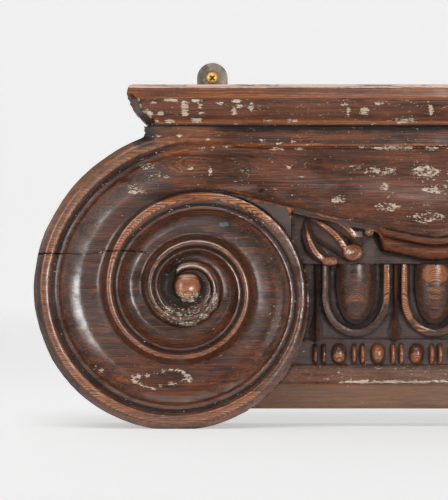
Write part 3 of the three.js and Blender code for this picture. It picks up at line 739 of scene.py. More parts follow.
def outline_left():
    """The block's outline, from the middle of its top round the left volute to the middle of its foot."""
    angle = np.arange(100, 300, 0.05)
    arc = round_eye(foot_radius(angle), np.radians(angle))
    arc[:, 1] = np.maximum(arc[:, 1], 0)
    first = np.nonzero(arc[:, 0] <= -BLOCK_HALF)[0][0]
    last = np.nonzero((arc[:, 1] >= FASCIA_FOOT) & (angle > 270))[0][0]
    arc = arc[first:last + 1]
    run = np.concatenate([[0], np.cumsum(np.hypot(*np.diff(arc, axis=0).T))])
    even = np.linspace(0, run[-1], int(run[-1] / 1.5))
    arc = pairs(np.interp(even, run, arc[:, 0]), np.interp(even, run, arc[:, 1]))
    top = pairs(np.arange(0, -BLOCK_HALF, -1.6), BLOCK_TOP)
    level = np.linspace(BLOCK_TOP, arc[0, 1], 9)[:-1]
    chipped = 0.6 * (1 + line_noise(level, 1.3, 45)) * smooth(BLOCK_TOP, BLOCK_TOP - 1, level)
    foot = pairs(np.linspace(arc[-1, 0], 0, 80)[1:], FASCIA_FOOT)
    return np.concatenate([top, pairs(chipped - BLOCK_HALF, level), arc, foot])


def inside_outline(x, z):
    """Which places lie on the block, seen from the front."""
    left = -np.abs(x)
    radius, angle = eye_polar(left, z)
    block = (left >= -BLOCK_HALF) & (z > BLOCK_TOP - 7) | (left > EYE_X) & (z > EYE_HEIGHT)
    echinus = (left > -118) & (z > FASCIA_FOOT)
    return (z < BLOCK_TOP) & (z > 0) & ((radius < foot_radius(angle)) | block | echinus)


def thinned(places, gap):
    """The places without those closer than `gap` to one that comes before them."""
    cells, kept = {}, []
    for x, z in places:
        i, j = int(math.floor(x / gap)), int(math.floor(z / gap))
        close = False
        for di in (-1, 0, 1):
            for dj in (-1, 0, 1):
                other = cells.get((i + di, j + dj))
                if other and (other[0] - x) ** 2 + (other[1] - z) ** 2 < gap * gap:
                    close = True
        if not close:
            cells[i, j] = (x, z)
            kept.append((x, z))
    return np.array(kept)


def front_places():
    """The whole block's outline, and the points that the front's mesh passes through."""
    outline = outline_left()
    outline = np.concatenate([outline, outline[1:-1][::-1] * [-1, 1]])
    makers = (eye_rows, side_of_volute, volute_rows, echinus_rows, leaf_rows, canalis_rows, edge_rows)
    rows = np.concatenate([make() for make in makers])
    fill = np.concatenate([
        grid(-62, 0, ECHINUS_FOOT, ECHINUS_TOP, 1.05, 1), grid(-104, -62, 52, ECHINUS_TOP, 1.2, 2),
        grid(-104, 0, ASTRAGAL_FOOT, ASTRAGAL_TOP + 1, 1.3, 3), grid(-92, -30, 100, 140, 0.9, 4),
        grid(-125, 0, FASCIA_FOOT, ASTRAGAL_FOOT, 2.6, 5), grid(-150, 0, 100, 148, 1.8, 6),
        grid(-BLOCK_HALF, 0, BAND_FOOT, BLOCK_TOP, 2.4, 7),
    ])
    left = np.concatenate([rows[rows[:, 0] < -0.3], fill[fill[:, 0] < -0.5]])
    x = np.arange(-246, -176, 0.8)
    crack = np.concatenate([pairs(x, crack_z(x) + shift) for shift in (-0.5, -0.16, 0.16, 0.5)])
    middle = pairs(0.0, np.linspace(FASCIA_FOOT + 1, BLOCK_TOP - 1, 150))
    return outline, np.concatenate([crack, string_rows(), middle, left, left * [-1, 1]])


def filled(outline, places):
    """Triangles over the inside of an outline, through the given places. The outline's come first."""
    away = np.ones(len(places), bool)
    for start in range(0, len(outline), 200):
        part = outline[start:start + 200]
        near = np.abs(places[:, None, :] - part[None]).max(axis=2).min(axis=1)
        away &= near > 0.42
    places = thinned(places[away], 0.2)
    points = [Vector(p) for p in np.concatenate([outline, places])]
    made, _, faces, *_ = delaunay_2d_cdt(points, [], [list(range(len(outline)))], 1, 1e-5)
    return np.array([tuple(p) for p in made]), np.array(faces), len(outline)


def front_mesh():
    """The front's places and triangles, and how many of the places are its outline."""
    outline, places = front_places()
    places = places[inside_outline(places[:, 0], places[:, 1])]
    return filled(outline, places)


# ---- from a front to a closed mesh ----


# How far out the rows down the sides lie, as shares of the front's.
SIDE_LEVELS = [0.95, 0.86, 0.7, 0.5, 0.3, 0.12, 0]


def closed_mesh(made, faces, count, out_at, worn):
    """Adds straight sides and a flat back to a front. The first `count` places are its outline, and `worn`
    says how dented the sides are at each of them."""
    rim = made[:count]
    forward = np.roll(rim, -1, axis=0) - np.roll(rim, 1, axis=0)
    inward = np.stack([-forward[:, 1], forward[:, 0]], 1)
    inward /= np.hypot(*inward.T)[:, None]
    probe = made.copy()
    probe[:count] += inward * 0.2
    out = out_at(probe[:, 0], probe[:, 1])
    out[:count] = np.maximum(out[:count], 40)
    front = np.stack([made[:, 0], WALL - out, made[:, 1]], 1)
    rows = []
    run = np.cumsum(np.hypot(*np.diff(rim, axis=0, append=rim[:1]).T))
    for share in SIDE_LEVELS:
        level = out[:count] * share
        dent = 0.25 + 0.2 * lattice_noise(run, level, 17, 14, 31)
        dent = worn * (dent + 0.1 * lattice_noise(run, level, 5, 6, 32)) * smooth(1, 0.97, share)
        place = rim + inward * dent[:, None]
        rows.append(np.stack([place[:, 0], WALL - level, place[:, 1]], 1))
    outline = [Vector(p) for p in rows[-1][:, [0, 2]]]
    back_faces = np.array(delaunay_2d_cdt(outline, [], [list(range(count))], 1, 1e-6)[2])
    points = [front] + rows
    start = len(front)
    triangles = [faces]
    above = np.arange(count)
    after = np.roll(np.arange(count), -1)
    for k in range(len(rows)):
        below = start + k * count + np.arange(count)
        triangles.append(np.stack([above, below, below[after]], 1))
        triangles.append(np.stack([above, below[after], above[after]], 1))
        above = below
    triangles.append(back_faces[:, ::-1] + start + (len(rows) - 1) * count)
    return np.concatenate(points), np.concatenate(triangles)


def add_object(name, data):
    made = bpy.data.objects.new(name, data)
    bpy.context.scene.collection.objects.link(made)
    return made


def mesh_object(name, points, faces):
    """A mesh object from places in millimetres."""
    mesh = bpy.data.meshes.new(name)
    corners = faces.tolist() if isinstance(faces, np.ndarray) else faces
    mesh.from_pydata((np.asarray(points) * MM).tolist(), [], corners)
    clean = bmesh.new()
    clean.from_mesh(mesh)
    bmesh.ops.recalc_face_normals(clean, faces=clean.faces)
    clean.to_mesh(mesh)
    clean.free()
    return add_object(name, mesh)


def between_loops(count, loops, start=0):
    """The faces between loops of `count` points each, the first at the index `start`."""
    faces = []
    for first in range(start, start + (loops - 1) * count, count):
        for i in range(count):
            after = (i + 1) % count
            faces.append((first + i, first + after, first + count + after, first + count + i))
    return faces


def lofted(name, loops):
    """A closed body with flat ends through loops of [x, out, z] places."""
    count = len(loops[0])
    points = [(x, WALL - out, z) for loop in loops for x, out, z in loop]
    last = len(points) - 1
    ends = [tuple(range(count)), tuple(range(last, last - count, -1))]
    return mesh_object(name, points, ends + between_loops(count, len(loops)))


WOOD_CRISP, METAL_CRISP, HEAD_CRISP = 38, 30, 35


def lay_smooth(piece, limit):
    """Smooth shading, with edges sharper than `limit` degrees left crisp."""
    shape = bmesh.new()
    shape.from_mesh(piece.data)
    for face in shape.faces:
        face.smooth = True
    for edge in shape.edges:
        if len(edge.link_faces) == 2:
            edge.smooth = edge.calc_face_angle(0) < math.radians(limit)
    shape.to_mesh(piece.data)
    shape.free()


def cut(piece, cutters):
    """Takes closed mesh objects out of a piece and removes them."""
    for cutter in cutters:
        taken = piece.modifiers.new("cut", "BOOLEAN")
        taken.operation = "DIFFERENCE"
        taken.solver = "MANIFOLD"
        taken.object = cutter
    graph = bpy.context.evaluated_depsgraph_get()
    whole = bpy.data.meshes.new_from_object(piece.evaluated_get(graph))
    whole.materials.clear()
    piece.modifiers.clear()
    piece.data = whole
    for cutter in cutters:
        bpy.data.objects.remove(cutter)


# ---- hanging plates ----

PLATE_X = 137.7
PLATE_THICK = 2.0
PLATE_HALF, PLATE_FOOT, PLATE_SHOULDER, PLATE_CORNER = 19.0, 166.0, 206.0, 4.0
TAB_HALF, TAB_MIDDLE = 9.75, 219.1
WALL_HOLE = 2.4
WOOD_SCREW_X, WOOD_SCREW_Z = 11.5, 175.0
WOOD_HEAD, WOOD_SHANK, WOOD_LENGTH = 3.4, 1.6, 16.0


def plate_outline(x, grow, tab_steps):
    """A plate's outline, grown by `grow` all round."""
    half, shoulder, tab = PLATE_HALF + grow, PLATE_SHOULDER + grow, TAB_HALF + grow
    right = [
        (half, PLATE_FOOT - grow), (half, shoulder - PLATE_CORNER), (half - PLATE_CORNER, shoulder),
        (tab, shoulder),
    ]
    turns = np.linspace(0, math.pi, tab_steps)
    round_tab = [(tab * math.cos(turn), TAB_MIDDLE + tab * math.sin(turn)) for turn in turns]
    left = [(-dx, z) for dx, z in right[::-1]]
    return [(x + dx, z) for dx, z in right + round_tab + left]


def plate_body(name, x, edges, tab_steps=20):
    """A plate's solid, from the growth of its outline and how far out, all through its thickness."""
    loops = []
    for grow, out in edges:
        loops.append([(px, out, pz) for px, pz in plate_outline(x, grow, tab_steps)])
    return lofted(name, loops)


def lathe(name, profile, x, z, sides):
    """A round body on an axis that points out from the wall, from [radius, out] pairs that start and end
    on the axis."""
    points = [(x, WALL - profile[0][1], z)]
    for radius, out in profile[1:-1]:
        for i in range(sides):
            turn = 2 * math.pi * i / sides
            points.append((x + radius * math.cos(turn), WALL - out, z + radius * math.sin(turn)))
    points.append((x, WALL - profile[-1][1], z))
    last = len(points) - 1
    rings = len(profile) - 2
    faces = [(0, 1 + (i + 1) % sides, 1 + i) for i in range(sides)] + between_loops(sides, rings, 1)
    top = last - sides
    faces += [(last, top + i, top + (i + 1) % sides) for i in range(sides)]
    return mesh_object(name, points, faces)


def wood_screw_profile(grow):
    """A plate screw's hole as the lathe's pairs, grown by `grow`."""
    return [(0, -grow), (WOOD_HEAD + grow, -grow), (WOOD_SHANK + grow, WOOD_HEAD - WOOD_SHANK),
            (WOOD_SHANK + grow, WOOD_LENGTH - 3), (0, WOOD_LENGTH + grow)]


def wood_screw_holes(x, sides):
    """Cutters for the two screws of a plate."""
    holes = []
    for dx in (-WOOD_SCREW_X, WOOD_SCREW_X):
        holes.append(lathe("cutter", wood_screw_profile(JOINT), x + dx, WOOD_SCREW_Z, sides))
    return holes


def let_in(x):
    """What a plate and its wood screws take out of the wood."""
    return [plate_body("cutter", x, [(JOINT, -1), (JOINT, PLATE_THICK + JOINT)])] + wood_screw_holes(x, 12)


# ---- abacus ----

ABACUS_FOOT, ABACUS_TOP = abacus_low[2], abacus_high[2]
ABACUS_OUT = WALL - abacus_low[1] - FACE
# The moulding in section: shares of its height from the foot, and of how far it stands out.
ABACUS_RISES = [0, 0.03, 0.09, 0.17, 0.24, 0.31, 0.39, 0.47, 0.54, 0.6, 0.645, 0.665, 0.7, 0.82, 0.93,
                0.965, 0.987, 1]
ABACUS_SHARES = [0, 0.035, 0.07, 0.26, 0.42, 0.57, 0.69, 0.79, 0.855, 0.9, 0.925, 0.985, 1, 1, 1,
                 0.985, 0.95, 0.88]


def abacus_rise(z):
    """The share of the abacus' height that each place lies at."""
    return (z - ABACUS_FOOT) / (ABACUS_TOP - ABACUS_FOOT)


def moulding(z):
    """How far the moulding stands out from the block's face."""
    return ABACUS_OUT * np.interp(abacus_rise(z), ABACUS_RISES, ABACUS_SHARES)


def abacus_end(z):
    """How far along x each end reaches: the moulding returned along the side."""
    return BLOCK_HALF - 1 + moulding(z)


def split_width(z):
    """How far in from the left end the lower part of the moulding has split away."""
    rise = abacus_rise(z)
    ragged = 1.5 * line_noise(z, 2.6, 51) + 0.8 * line_noise(z, 0.9, 52)
    return np.maximum((8.2 + ragged) * smooth(0.0, 0.1, rise) * smooth(0.82, 0.62, rise), 0)


def abacus_out_at(x, z):
    """How far the abacus' front stands out, with its split end and nicked top edge."""
    x, z = np.asarray(x, float), np.asarray(z, float)
    out = FACE + moulding(z) - 0.15
    out = out + 0.14 * lattice_noise(x, z, 31, 9, 53) + 0.06 * lattice_noise(x, z, 5, 3, 54)
    from_left, width = x + abacus_end(z), split_width(z)
    grain = 0.7 * lattice_noise(x, z, 1.7, 1.1, 55) + 0.5 * lattice_noise(x, z, 3.1, 2.3, 56)
    split = 0.5 + 1.9 * np.maximum(width - from_left, 0) + grain
    out = out - np.where(from_left < width, split, 0)
    nick = hump(z, ABACUS_TOP - 0.4, 1.3) * smooth(0.45, 0.8, line_noise(x, 7, 57))
    return np.minimum(out - 0.7 * nick, FACE + ABACUS_OUT)


def abacus_mesh():
    """The abacus' closed mesh, as points and triangles."""
    heights = mix(ABACUS_FOOT, ABACUS_TOP, np.array(ABACUS_RISES))
    heights = np.sort(np.concatenate([heights, (heights[1:] + heights[:-1]) / 2]))[1:-1]
    near_end = np.concatenate([np.arange(0.5, 9, 0.55), np.arange(9, 16, 1.1)])
    places = []
    for z, end in zip(heights, abacus_end(heights)):
        x = np.concatenate([np.arange(0, end - 16, 2.1), end - near_end])
        places.append(pairs(np.concatenate([-x, x[1:]]), z))
    level = np.linspace(ABACUS_FOOT, ABACUS_TOP, 40)
    rise = abacus_rise(level)
    ragged = 1.2 * (1 + line_noise(level, 1.5, 58)) * smooth(0.85, 0.65, rise)
    leaning = 2 * smooth(0.6, 1, rise) + 0.9 * smooth(0.95, 1, rise)
    left = pairs(-abacus_end(level) + ragged + leaning + 0.05, level)[::-1]
    right = pairs(abacus_end(level) - 0.05, level)
    lengthwise = np.linspace(left[-1, 0], right[0, 0], 190)[1:-1]
    foot = pairs(lengthwise, ABACUS_FOOT + 0.12 + 0.12 * line_noise(lengthwise, 11, 59))
    top = pairs(np.linspace(right[-1, 0], left[0, 0], 190)[1:-1], ABACUS_TOP)
    sides = (left, foot, right, top)
    worn = np.repeat([0.6, 0, 0.6, 0], [len(side) for side in sides])
    return closed_mesh(*filled(np.concatenate(sides), np.concatenate(places)), abacus_out_at, worn)


# ---- plates and screws ----

WALL_SHANK, WALL_HEAD = 2.1, 4.0
HEAD_SEAT = PLATE_THICK + JOINT
HEAD_EDGE, HEAD_DOME = 0.5, 1.9
THREAD_PITCH = 1.0


def hanging_plate(name, x):
    """A steel plate with softened edges, drilled for its screws."""
    edges = [(-0.3, 0), (-0.06, 0.1), (0, 0.35), (0, PLATE_THICK - 0.4), (-0.07, PLATE_THICK - 0.12),
             (-0.35, PLATE_THICK)]
    plate = plate_body(name, x, edges, 36)
    rim = WALL_HOLE + 0.3
    hole = [(0, -1), (rim + 1, -1), (WALL_HOLE, 0.3), (WALL_HOLE, PLATE_THICK - 0.3),
            (rim + 1, PLATE_THICK + 1), (0, PLATE_THICK + 1)]
    cut(plate, [lathe("cutter", hole, x, TAB_MIDDLE, 32)] + wood_screw_holes(x, 24))
    lay_smooth(plate, METAL_CRISP)
    return plate


def tapered_box(name, x, z, turn, half_long, half_wide, out_from, out_to, taper):
    """A box turned in the wall's plane, `taper` smaller at its back end and larger at its front."""
    loops = []
    for out, grow in ((out_from, -taper), (out_to, taper)):
        loop = []
        for u, v in ((-1, -1), (1, -1), (1, 1), (-1, 1)):
            along, across = u * (half_long + grow), v * (half_wide + grow)
            loop.append((x + along * math.cos(turn) - across * math.sin(turn), out,
                         z + along * math.sin(turn) + across * math.cos(turn)))
        loops.append(loop)
    return lofted(name, loops)


def wall_screw(name, x):
    """A domed brass screw with a cross recess, cut off flush with the wall."""
    profile = [(0, 0), (WALL_SHANK, 0), (WALL_SHANK, HEAD_SEAT), (WALL_HEAD - 0.15, HEAD_SEAT),
               (WALL_HEAD, HEAD_SEAT + 0.15)]
    for tilt in np.linspace(86, 0, 14):
        turn = math.radians(tilt)
        profile.append((WALL_HEAD * math.sin(turn), HEAD_SEAT + HEAD_EDGE + HEAD_DOME * math.cos(turn)))
    screw = lathe(name, profile, x, TAB_MIDDLE, 48)
    top = HEAD_SEAT + HEAD_EDGE + HEAD_DOME
    cutters = []
    for turn in (math.radians(45), math.radians(135)):
        cutters.append(tapered_box("cutter", x, TAB_MIDDLE, turn, 2.1, 0.5, top - 1.5, top + 0.6, 0.14))
    cut(screw, cutters)
    lay_smooth(screw, HEAD_CRISP)
    return screw


def plate_screw(name, x):
    """A countersunk wood screw that holds a plate, its thread cut as rings."""
    core = WOOD_SHANK - 0.3
    profile = [(0, 0), (WOOD_HEAD - 0.1, 0), (WOOD_HEAD, 0.12), (WOOD_SHANK, WOOD_HEAD - WOOD_SHANK)]
    reach = WOOD_HEAD - WOOD_SHANK + 1.2
    while reach < WOOD_LENGTH - 3.4:
        profile += [(core, reach), (core, reach + 0.4)]
        profile += [(WOOD_SHANK, reach + 0.6), (WOOD_SHANK, reach + 0.7)]
        reach += THREAD_PITCH
    profile += [(core, WOOD_LENGTH - 3), (0, WOOD_LENGTH)]
    screw = lathe(name, profile, x, WOOD_SCREW_Z, 24)
    lay_smooth(screw, METAL_CRISP)
    return screw


# ---- wear, dirt, painted shade and painted highlights ----
# Handling wears the raised edges through to orange wood, and wax and dust settle in the hollows. Painted
# shade darkens the hollows, grooves and slopes turned from the light, and painted highlights lighten edges
# and tops. These are read off the carved surface on an even grid and kept on the mesh as point attributes.

CELL = 0.5
MAP_LOW = np.array([-252.0, -5.0])
MAP_SIZE = (1008, 392)


def blurred(field, radius):
    """The field softened by a bell curve of `radius` millimetres."""
    u = np.fft.fftfreq(field.shape[0])[:, None]
    v = np.fft.rfftfreq(field.shape[1])[None, :]
    bell = np.exp(-2 * (math.pi * radius / CELL) ** 2 * (u * u + v * v))
    return np.fft.irfft2(np.fft.rfft2(field) * bell, s=field.shape)


def surface_maps():
    """Maps, over x and z, of how raised, how sunk and how far behind its surroundings each place lies."""
    along_x, along_z = (low + CELL * np.arange(count) for low, count in zip(MAP_LOW, MAP_SIZE))
    x, z = np.meshgrid(along_x, along_z, indexing="ij")
    inside = inside_outline(x, z)
    out = np.zeros(x.shape)
    out[inside] = np.maximum(front_out(x[inside], z[inside]), 30)
    beyond = blurred(out, 3) / np.maximum(blurred(inside.astype(float), 3), 0.02)
    out = np.where(inside, out, beyond)
    near, mid, far = blurred(out, 0.8), blurred(out, 2.2), blurred(out, 7)
    raised = smooth(0.08, 0.5, out - near) * 0.8 + smooth(0.35, 1.8, out - mid) * 0.45
    sunk = smooth(0.08, 0.6, near - out) * 0.6 + smooth(0.3, 2.0, mid - out) * 0.7
    return blurred(raised, 0.25), blurred(sunk, 0.4), smooth(1.5, 6, far - out)


def read_map(field, x, z):
    """A map's value at each place."""
    u = np.clip((x - MAP_LOW[0]) / CELL, 0, MAP_SIZE[0] - 1.001)
    v = np.clip((z - MAP_LOW[1]) / CELL, 0, MAP_SIZE[1] - 1.001)
    iu, iv = u.astype(int), v.astype(int)
    fu, fv = u - iu, v - iv
    low = mix(field[iu, iv], field[iu + 1, iv], fu)
    return mix(low, mix(field[iu, iv + 1], field[iu + 1, iv + 1], fu), fv)


def patches(x, z, places):
    """The strongest of some oval patches at each place."""
    value = np.zeros(x.shape)
    for middle_x, middle_z, half_x, half_z, amount in places:
        away = np.hypot((x - middle_x) / half_x, (z - middle_z) / half_z)
        value = np.maximum(value, amount * smooth(1, 0.45, away))
    return value


def hump(value, middle, half):
    """1 at the middle, falling to 0 at `half` to either side."""
    return smooth(half, 0, np.abs(value - middle))


def at_least(marks, name, value):
    """Raises a mark to a value where it is lower."""
    marks[name] = np.maximum(marks[name], value)


# Oval patches placed on the carving, each [middle x, middle z, half size along x and z, strength].
# First the old cream paint left behind.
PAINT = [
    (-138.5, 158.5, 1.6, 4.5, 0.95), (-151, 160, 2.6, 2.4, 0.85), (-157.5, 160, 3, 2, 0.75),
    (-90, 161, 2.6, 1.6, 0.9), (-83, 154.5, 3.4, 1.6, 0.9), (-50, 160, 7, 2.4, 0.78),
    (-39, 158, 8, 4.5, 0.72), (-28, 158, 8, 3.5, 0.78), (-7, 158, 14, 7, 0.78),
    (-31.5, 149, 5, 5, 0.68), (-2, 147, 10, 4, 0.74), (-60, 141, 8, 4.5, 0.72),
    (-30, 136, 14, 4.5, 0.72), (-6, 130, 18, 6, 0.66), (-52, 150, 18, 2.5, 0.5), (20, 150, 30, 12, 0.6),
    (45, 158, 20, 5, 0.66), (-171, 155, 14, 5, 0.62), (-184, 147, 10, 6, 0.7), (-177, 161, 8, 4, 0.66),
    (-116, 158, 10, 4, 0.5), (-181, 128, 8, 4, 0.45), (-206, 36, 3, 3, 0.8),
    (-209.5, 37.5, 1.4, 2, 0.9), (-152.5, 79.5, 7, 3, 0.8), (-147, 82, 1.6, 4, 0.85),
    (-136, 79, 3, 9, 0.74), (-152.5, 64.5, 9, 2.6, 0.78), (-164, 72.5, 6, 4, 0.66),
    (-143, 69, 6, 3, 0.7), (-160, 105, 12, 6, 0.45), (-62, 44, 3, 6, 0.5), (120, 156, 14, 5, 0.66),
    (160, 140, 12, 8, 0.6), (152, 78, 10, 6, 0.66), (90, 150, 16, 5, 0.56), (170, 40, 12, 7, 0.5),
    (-108, 128, 20, 7, 0.46), (-236, 131, 8, 14, 0.4), (-100, 66, 9, 18, 0.42),
    (-141.3, 176.4, 4, 1.6, 0.8), (-106.5, 176.3, 5, 1.4, 0.8), (-97, 175.4, 3, 1.6, 0.82),
    (-88.5, 176.4, 2.6, 2.4, 0.82), (-141, 172.4, 9, 1.5, 0.74), (-129, 173, 5, 1.3, 0.74),
    (-97, 171.7, 9, 1.2, 0.84), (-84, 171.7, 5, 1.2, 0.84), (-54.5, 110.5, 3.4, 3.6, 0.72),
    (-172, 180, 5, 1.5, 0.7), (-158, 180, 4, 1.2, 0.7),
]
# Then where the stain is worn through to bare wood on the echinus and its string.
WORN = [
    (-48.8, 79, 9, 6, 0.36), (-48.8, 92, 7, 6, 0.3), (0, 95, 11, 8, 0.98), (0, 84, 9, 7, 0.42),
    (-30.3, 90, 2.8, 17, 1.0), (-28.6, 71, 2.6, 5, 0.4), (-19, 90, 3, 18, 1.0), (-17, 73, 5, 10, 1.0),
    (-8, 62, 9, 4, 0.7), (-24.4, 90, 1.6, 14, 0.85), (-24.4, 64, 3, 4, 0.4), (-69.5, 80, 2, 9, 0.4),
    (-75.5, 45.2, 2.6, 8, 0.55), (-69, 45, 2, 5, 0.25), (-59.2, 43.6, 5, 4, 0.75),
    (-50.3, 45.2, 2, 8, 0.7), (-44.5, 45.2, 2, 8, 0.8), (-34.8, 46.5, 5, 7, 0.9),
    (-25.6, 45.2, 2.2, 9, 1.0), (-20.4, 45.2, 2.2, 9, 1.0), (-12.2, 43, 5, 4, 0.85),
    (-1.7, 45.2, 2.3, 9, 1.0), (3.8, 45.2, 2.3, 9, 1.0), (14, 44, 5, 5, 0.8), (24.4, 90, 1.6, 16, 0.7),
    (31, 90, 3, 16, 0.8), (19, 86, 3, 12, 0.8), (48.8, 93, 9, 8, 0.8), (38, 45.5, 5, 6, 0.8),
    (25, 45.2, 6, 9, 0.8), (49, 45.2, 6, 9, 0.6), (62, 44, 5, 5, 0.6), (72, 74, 4, 14, 0.6),
]
# Painted highlights on the leaf, stopped holes in the canalis, and greenish stains.
LEAF_GLINTS = [(-47.5, 119.6, 4.5, 2.6, 1.0), (-53.8, 108.6, 2.2, 2.6, 0.7)]
NAIL_HOLES = [(-107.6, 146.5, 2.8, 2.2, 1.0), (-14.6, 127.9, 2.6, 1.8, 0.9)]
GREENED = [(-130.5, 125.5, 5, 2.4, 0.9), (-178, 76, 6, 2, 0.4), (-148, 62.5, 16, 2.6, 0.5)]
# A thin curl of paint below the left volute's eye, round a patch of dirt: its middle and half its size.
CURL_X, CURL_Z, CURL_HALF_X, CURL_HALF_Z = -168.5, 30.5, 17, 4.6


def lobe_marks(x, z):
    """How close each place is to a lobe's ridge, and to its ball, from 0 to 1."""
    ridge, ball = np.zeros(x.shape), np.zeros(x.shape)
    near = near_leaf(x, z)
    for lobe in LOBES:
        line = lobe_points(lobe["path"], 60)
        gap = np.hypot(x[near, None] - line[None, :, 0], z[near, None] - line[None, :, 2])
        share = gap.argmin(axis=1) / (len(line) - 1)
        close = smooth(mix(1.8, 3.6, share), 0.5, gap.min(axis=1)) * smooth(0.05, 0.3, share)
        ridge[near] = np.maximum(ridge[near], close)
        middle_x, _, middle_z, half_x, half_z = lobe["ball"]
        away = np.hypot((x[near] - middle_x) / half_x, (z[near] - middle_z) / half_z)
        ball[near] = np.maximum(ball[near], smooth(1.15, 0.9, away))
    return ridge, ball


def volute_place(x, z):
    """Where each place is on the left volute: its turn (0 at the far left, nan off the volute), and its
    shares of the way over the rim (from its groove), the bead (from the groove) and the channel (from the
    bead)."""
    radius, angle = eye_polar(x, z)
    on = np.full(x.shape, np.nan)
    for turn in range(4):
        at = angle + 360 * turn
        here = (at <= SPIRAL_END) & (radius <= foot_radius(at) + 0.3) & (radius >= inner_radius(at))
        on = np.where(here & np.isnan(on), at, on)
    known = np.where(np.isnan(on), SPIRAL_START, on)
    groove, rim, bead, channel, _ = turn_parts(known)
    over = (radius - groove) / rim
    narrowed = np.where(over > 0, np.interp(over, RIM_BROAD[::-1], RIM_SHARES[::-1]), over)
    over = mix(over, narrowed, broad_rim(turns_at(known)))
    return turns_at(on), over, (groove - radius) / bead, (groove - bead - radius) / channel


def volute_marks(x, z, patchy, fine):
    """Marks on the left volute, and where the volute is."""
    turn, rim, bead, channel = volute_place(x, z)
    on = np.isfinite(turn)
    turn = np.where(on, turn, 0)
    away, _ = eye_polar(x, z)
    above_eye = z - EYE_HEIGHT
    slow = noise_share(x, z, 37, 29, 43)
    # Which part of the spiral each place is on,
    free, inner = smooth(0.8, 0.6, turn), smooth(1.2, 1.8, turn)
    # The upper left of the outer rim is painted lighter, for its end grain and for the light falling on it
    # from the upper left.
    end_grain_and_light = smooth(-0.25, -0.2, turn) * smooth(-0.02, -0.07, turn) * smooth(0.2, 0.35, rim)
    foot = smooth(0.08, 0.2, turn) * smooth(0.5, 0.34, turn)
    right_side = smooth(0.3, 0.4, turn) * smooth(0.62, 0.54, turn)
    late = smooth(1.85, 2.3, turn)
    # and which part of the section.
    slope = smooth(0.58, 0.66, rim)
    face = smooth(0.2, 0.27, rim) * smooth(0.64, 0.56, rim)
    outer_arris, inner_arris = hump(rim, 0.575, 0.08), hump(rim, 0.235, 0.08)
    bead_edge = hump(bead, 0.86, 0.3)
    groove = np.maximum(hump(rim, 0.02, 0.13), hump(bead, 0.1, 0.35))
    on_channel = smooth(0.04, 0.16, channel)
    under_eye = on_channel * smooth(0.85, 1.1, turn) * smooth(-8, -30, above_eye)

    wear = face * (0.26 + 0.26 * slow + 0.08 * foot) * mix(1, 0.6, inner) * (1 - 0.65 * right_side)
    wear += 0.25 * outer_arris * slow + 0.4 * inner_arris * slow + bead_edge * mix(0.15, 0.4, slow)
    wear += 0.3 * broad_rim(turn) * face * smooth(0.56, 0.64, turn)
    wear += slope * (0.1 * slow + 0.22 * foot * free)
    wear = mix(wear, 0.34 + 0.16 * fine, end_grain_and_light)
    low_channel = on_channel * (1 - inner) * smooth(72, 28, z) * smooth(0.9, 0.3, channel)
    wear += 0.3 * low_channel * mix(0.5, 1, patchy)
    wear = mix(wear, 0.3 * late * hump(rim, 0.4, 0.5), late)
    # Painted highlights on the rim's arrises and the bead's edge, on rim tops that face up, and on the last
    # ring's top.
    shine = 0.8 * inner_arris * (1 - 0.4 * inner) + 0.6 * outer_arris + 0.4 * bead_edge
    shine = shine * mix(0.5, 1, slow)
    facing_up = smooth(0.45, 0.9, above_eye / np.maximum(away, 1))
    shine += 1.1 * facing_up * hump(rim, 0.55, 0.13) * smooth(0.5, 0.6, turn)
    shine = mix(shine, 1.1 * hump(rim, 0.5, 0.3) * smooth(2, 12, above_eye), late)
    # Dirt, and painted shade on the rim's outer slope that faces away from the light, in the groove, at the
    # channel's foot beside the next rim and in the inner channels.
    grime = slope * free * (1 - end_grain_and_light) * (0.5 - 0.3 * foot) + 0.25 * slope * (1 - free) + groove
    grime += 0.55 * smooth(0.88, 1.0, channel) + 0.3 * inner * on_channel * smooth(-140, -160, x)
    grime += 0.6 * smooth(1.6, 2.1, turn) * on_channel
    dust = 0.45 * smooth(0.15, 0.4, bead) * smooth(0.85, 0.6, bead) * (channel < 0)
    dust += 0.35 * under_eye * patchy
    dust += on_channel * (0.1 + 0.25 * smooth(90, 130, z)) * patchy + 0.5 * inner * on_channel * fine
    haze = 0.5 * end_grain_and_light + 0.2 * inner * fine + 0.5 * under_eye * (1 - patchy)
    tone = 0.55 - 0.3 * on_channel + 0.5 * on_channel * smooth(70, 20, z) - 0.15 * inner
    paint = 0.26 + 0.12 * groove + 0.24 * inner * smooth(100, 60, z)
    paint += 0.1 * late * smooth(0, -9, above_eye)
    unwaxed = np.maximum(smooth(EYE_X + 5, EYE_X + 30, x), smooth(70, 35, z))
    unwaxed = np.maximum(unwaxed, smooth(0.9, 1.3, turn))
    marks = {"wear": wear, "shine": shine, "grime": grime, "dust": dust, "haze": haze, "tone": tone,
             "paint": paint}
    # On the eye: a painted highlight on the dome's top and painted shade round its foot.
    on_eye = {
        "wear": 0.7 * smooth(8.6, 6.5, away), "shine": 0.85 * hump(above_eye, 6.4, 2.6),
        "grime": 0.5 * smooth(6, 8.6, away), "dust": 0.2, "haze": 0.1, "tone": 0.6,
        "paint": 0.66 * smooth(-1, -4.5, above_eye),
    }
    for name, value in on_eye.items():
        marks[name] = mix(marks[name], value, smooth(EYE_RADIUS + 0.2, EYE_RADIUS - 0.6, away))
    marks["wax"] = mix(1, 0.3, on_channel * unwaxed)
    return marks, on | (away < CORE_RADIUS)


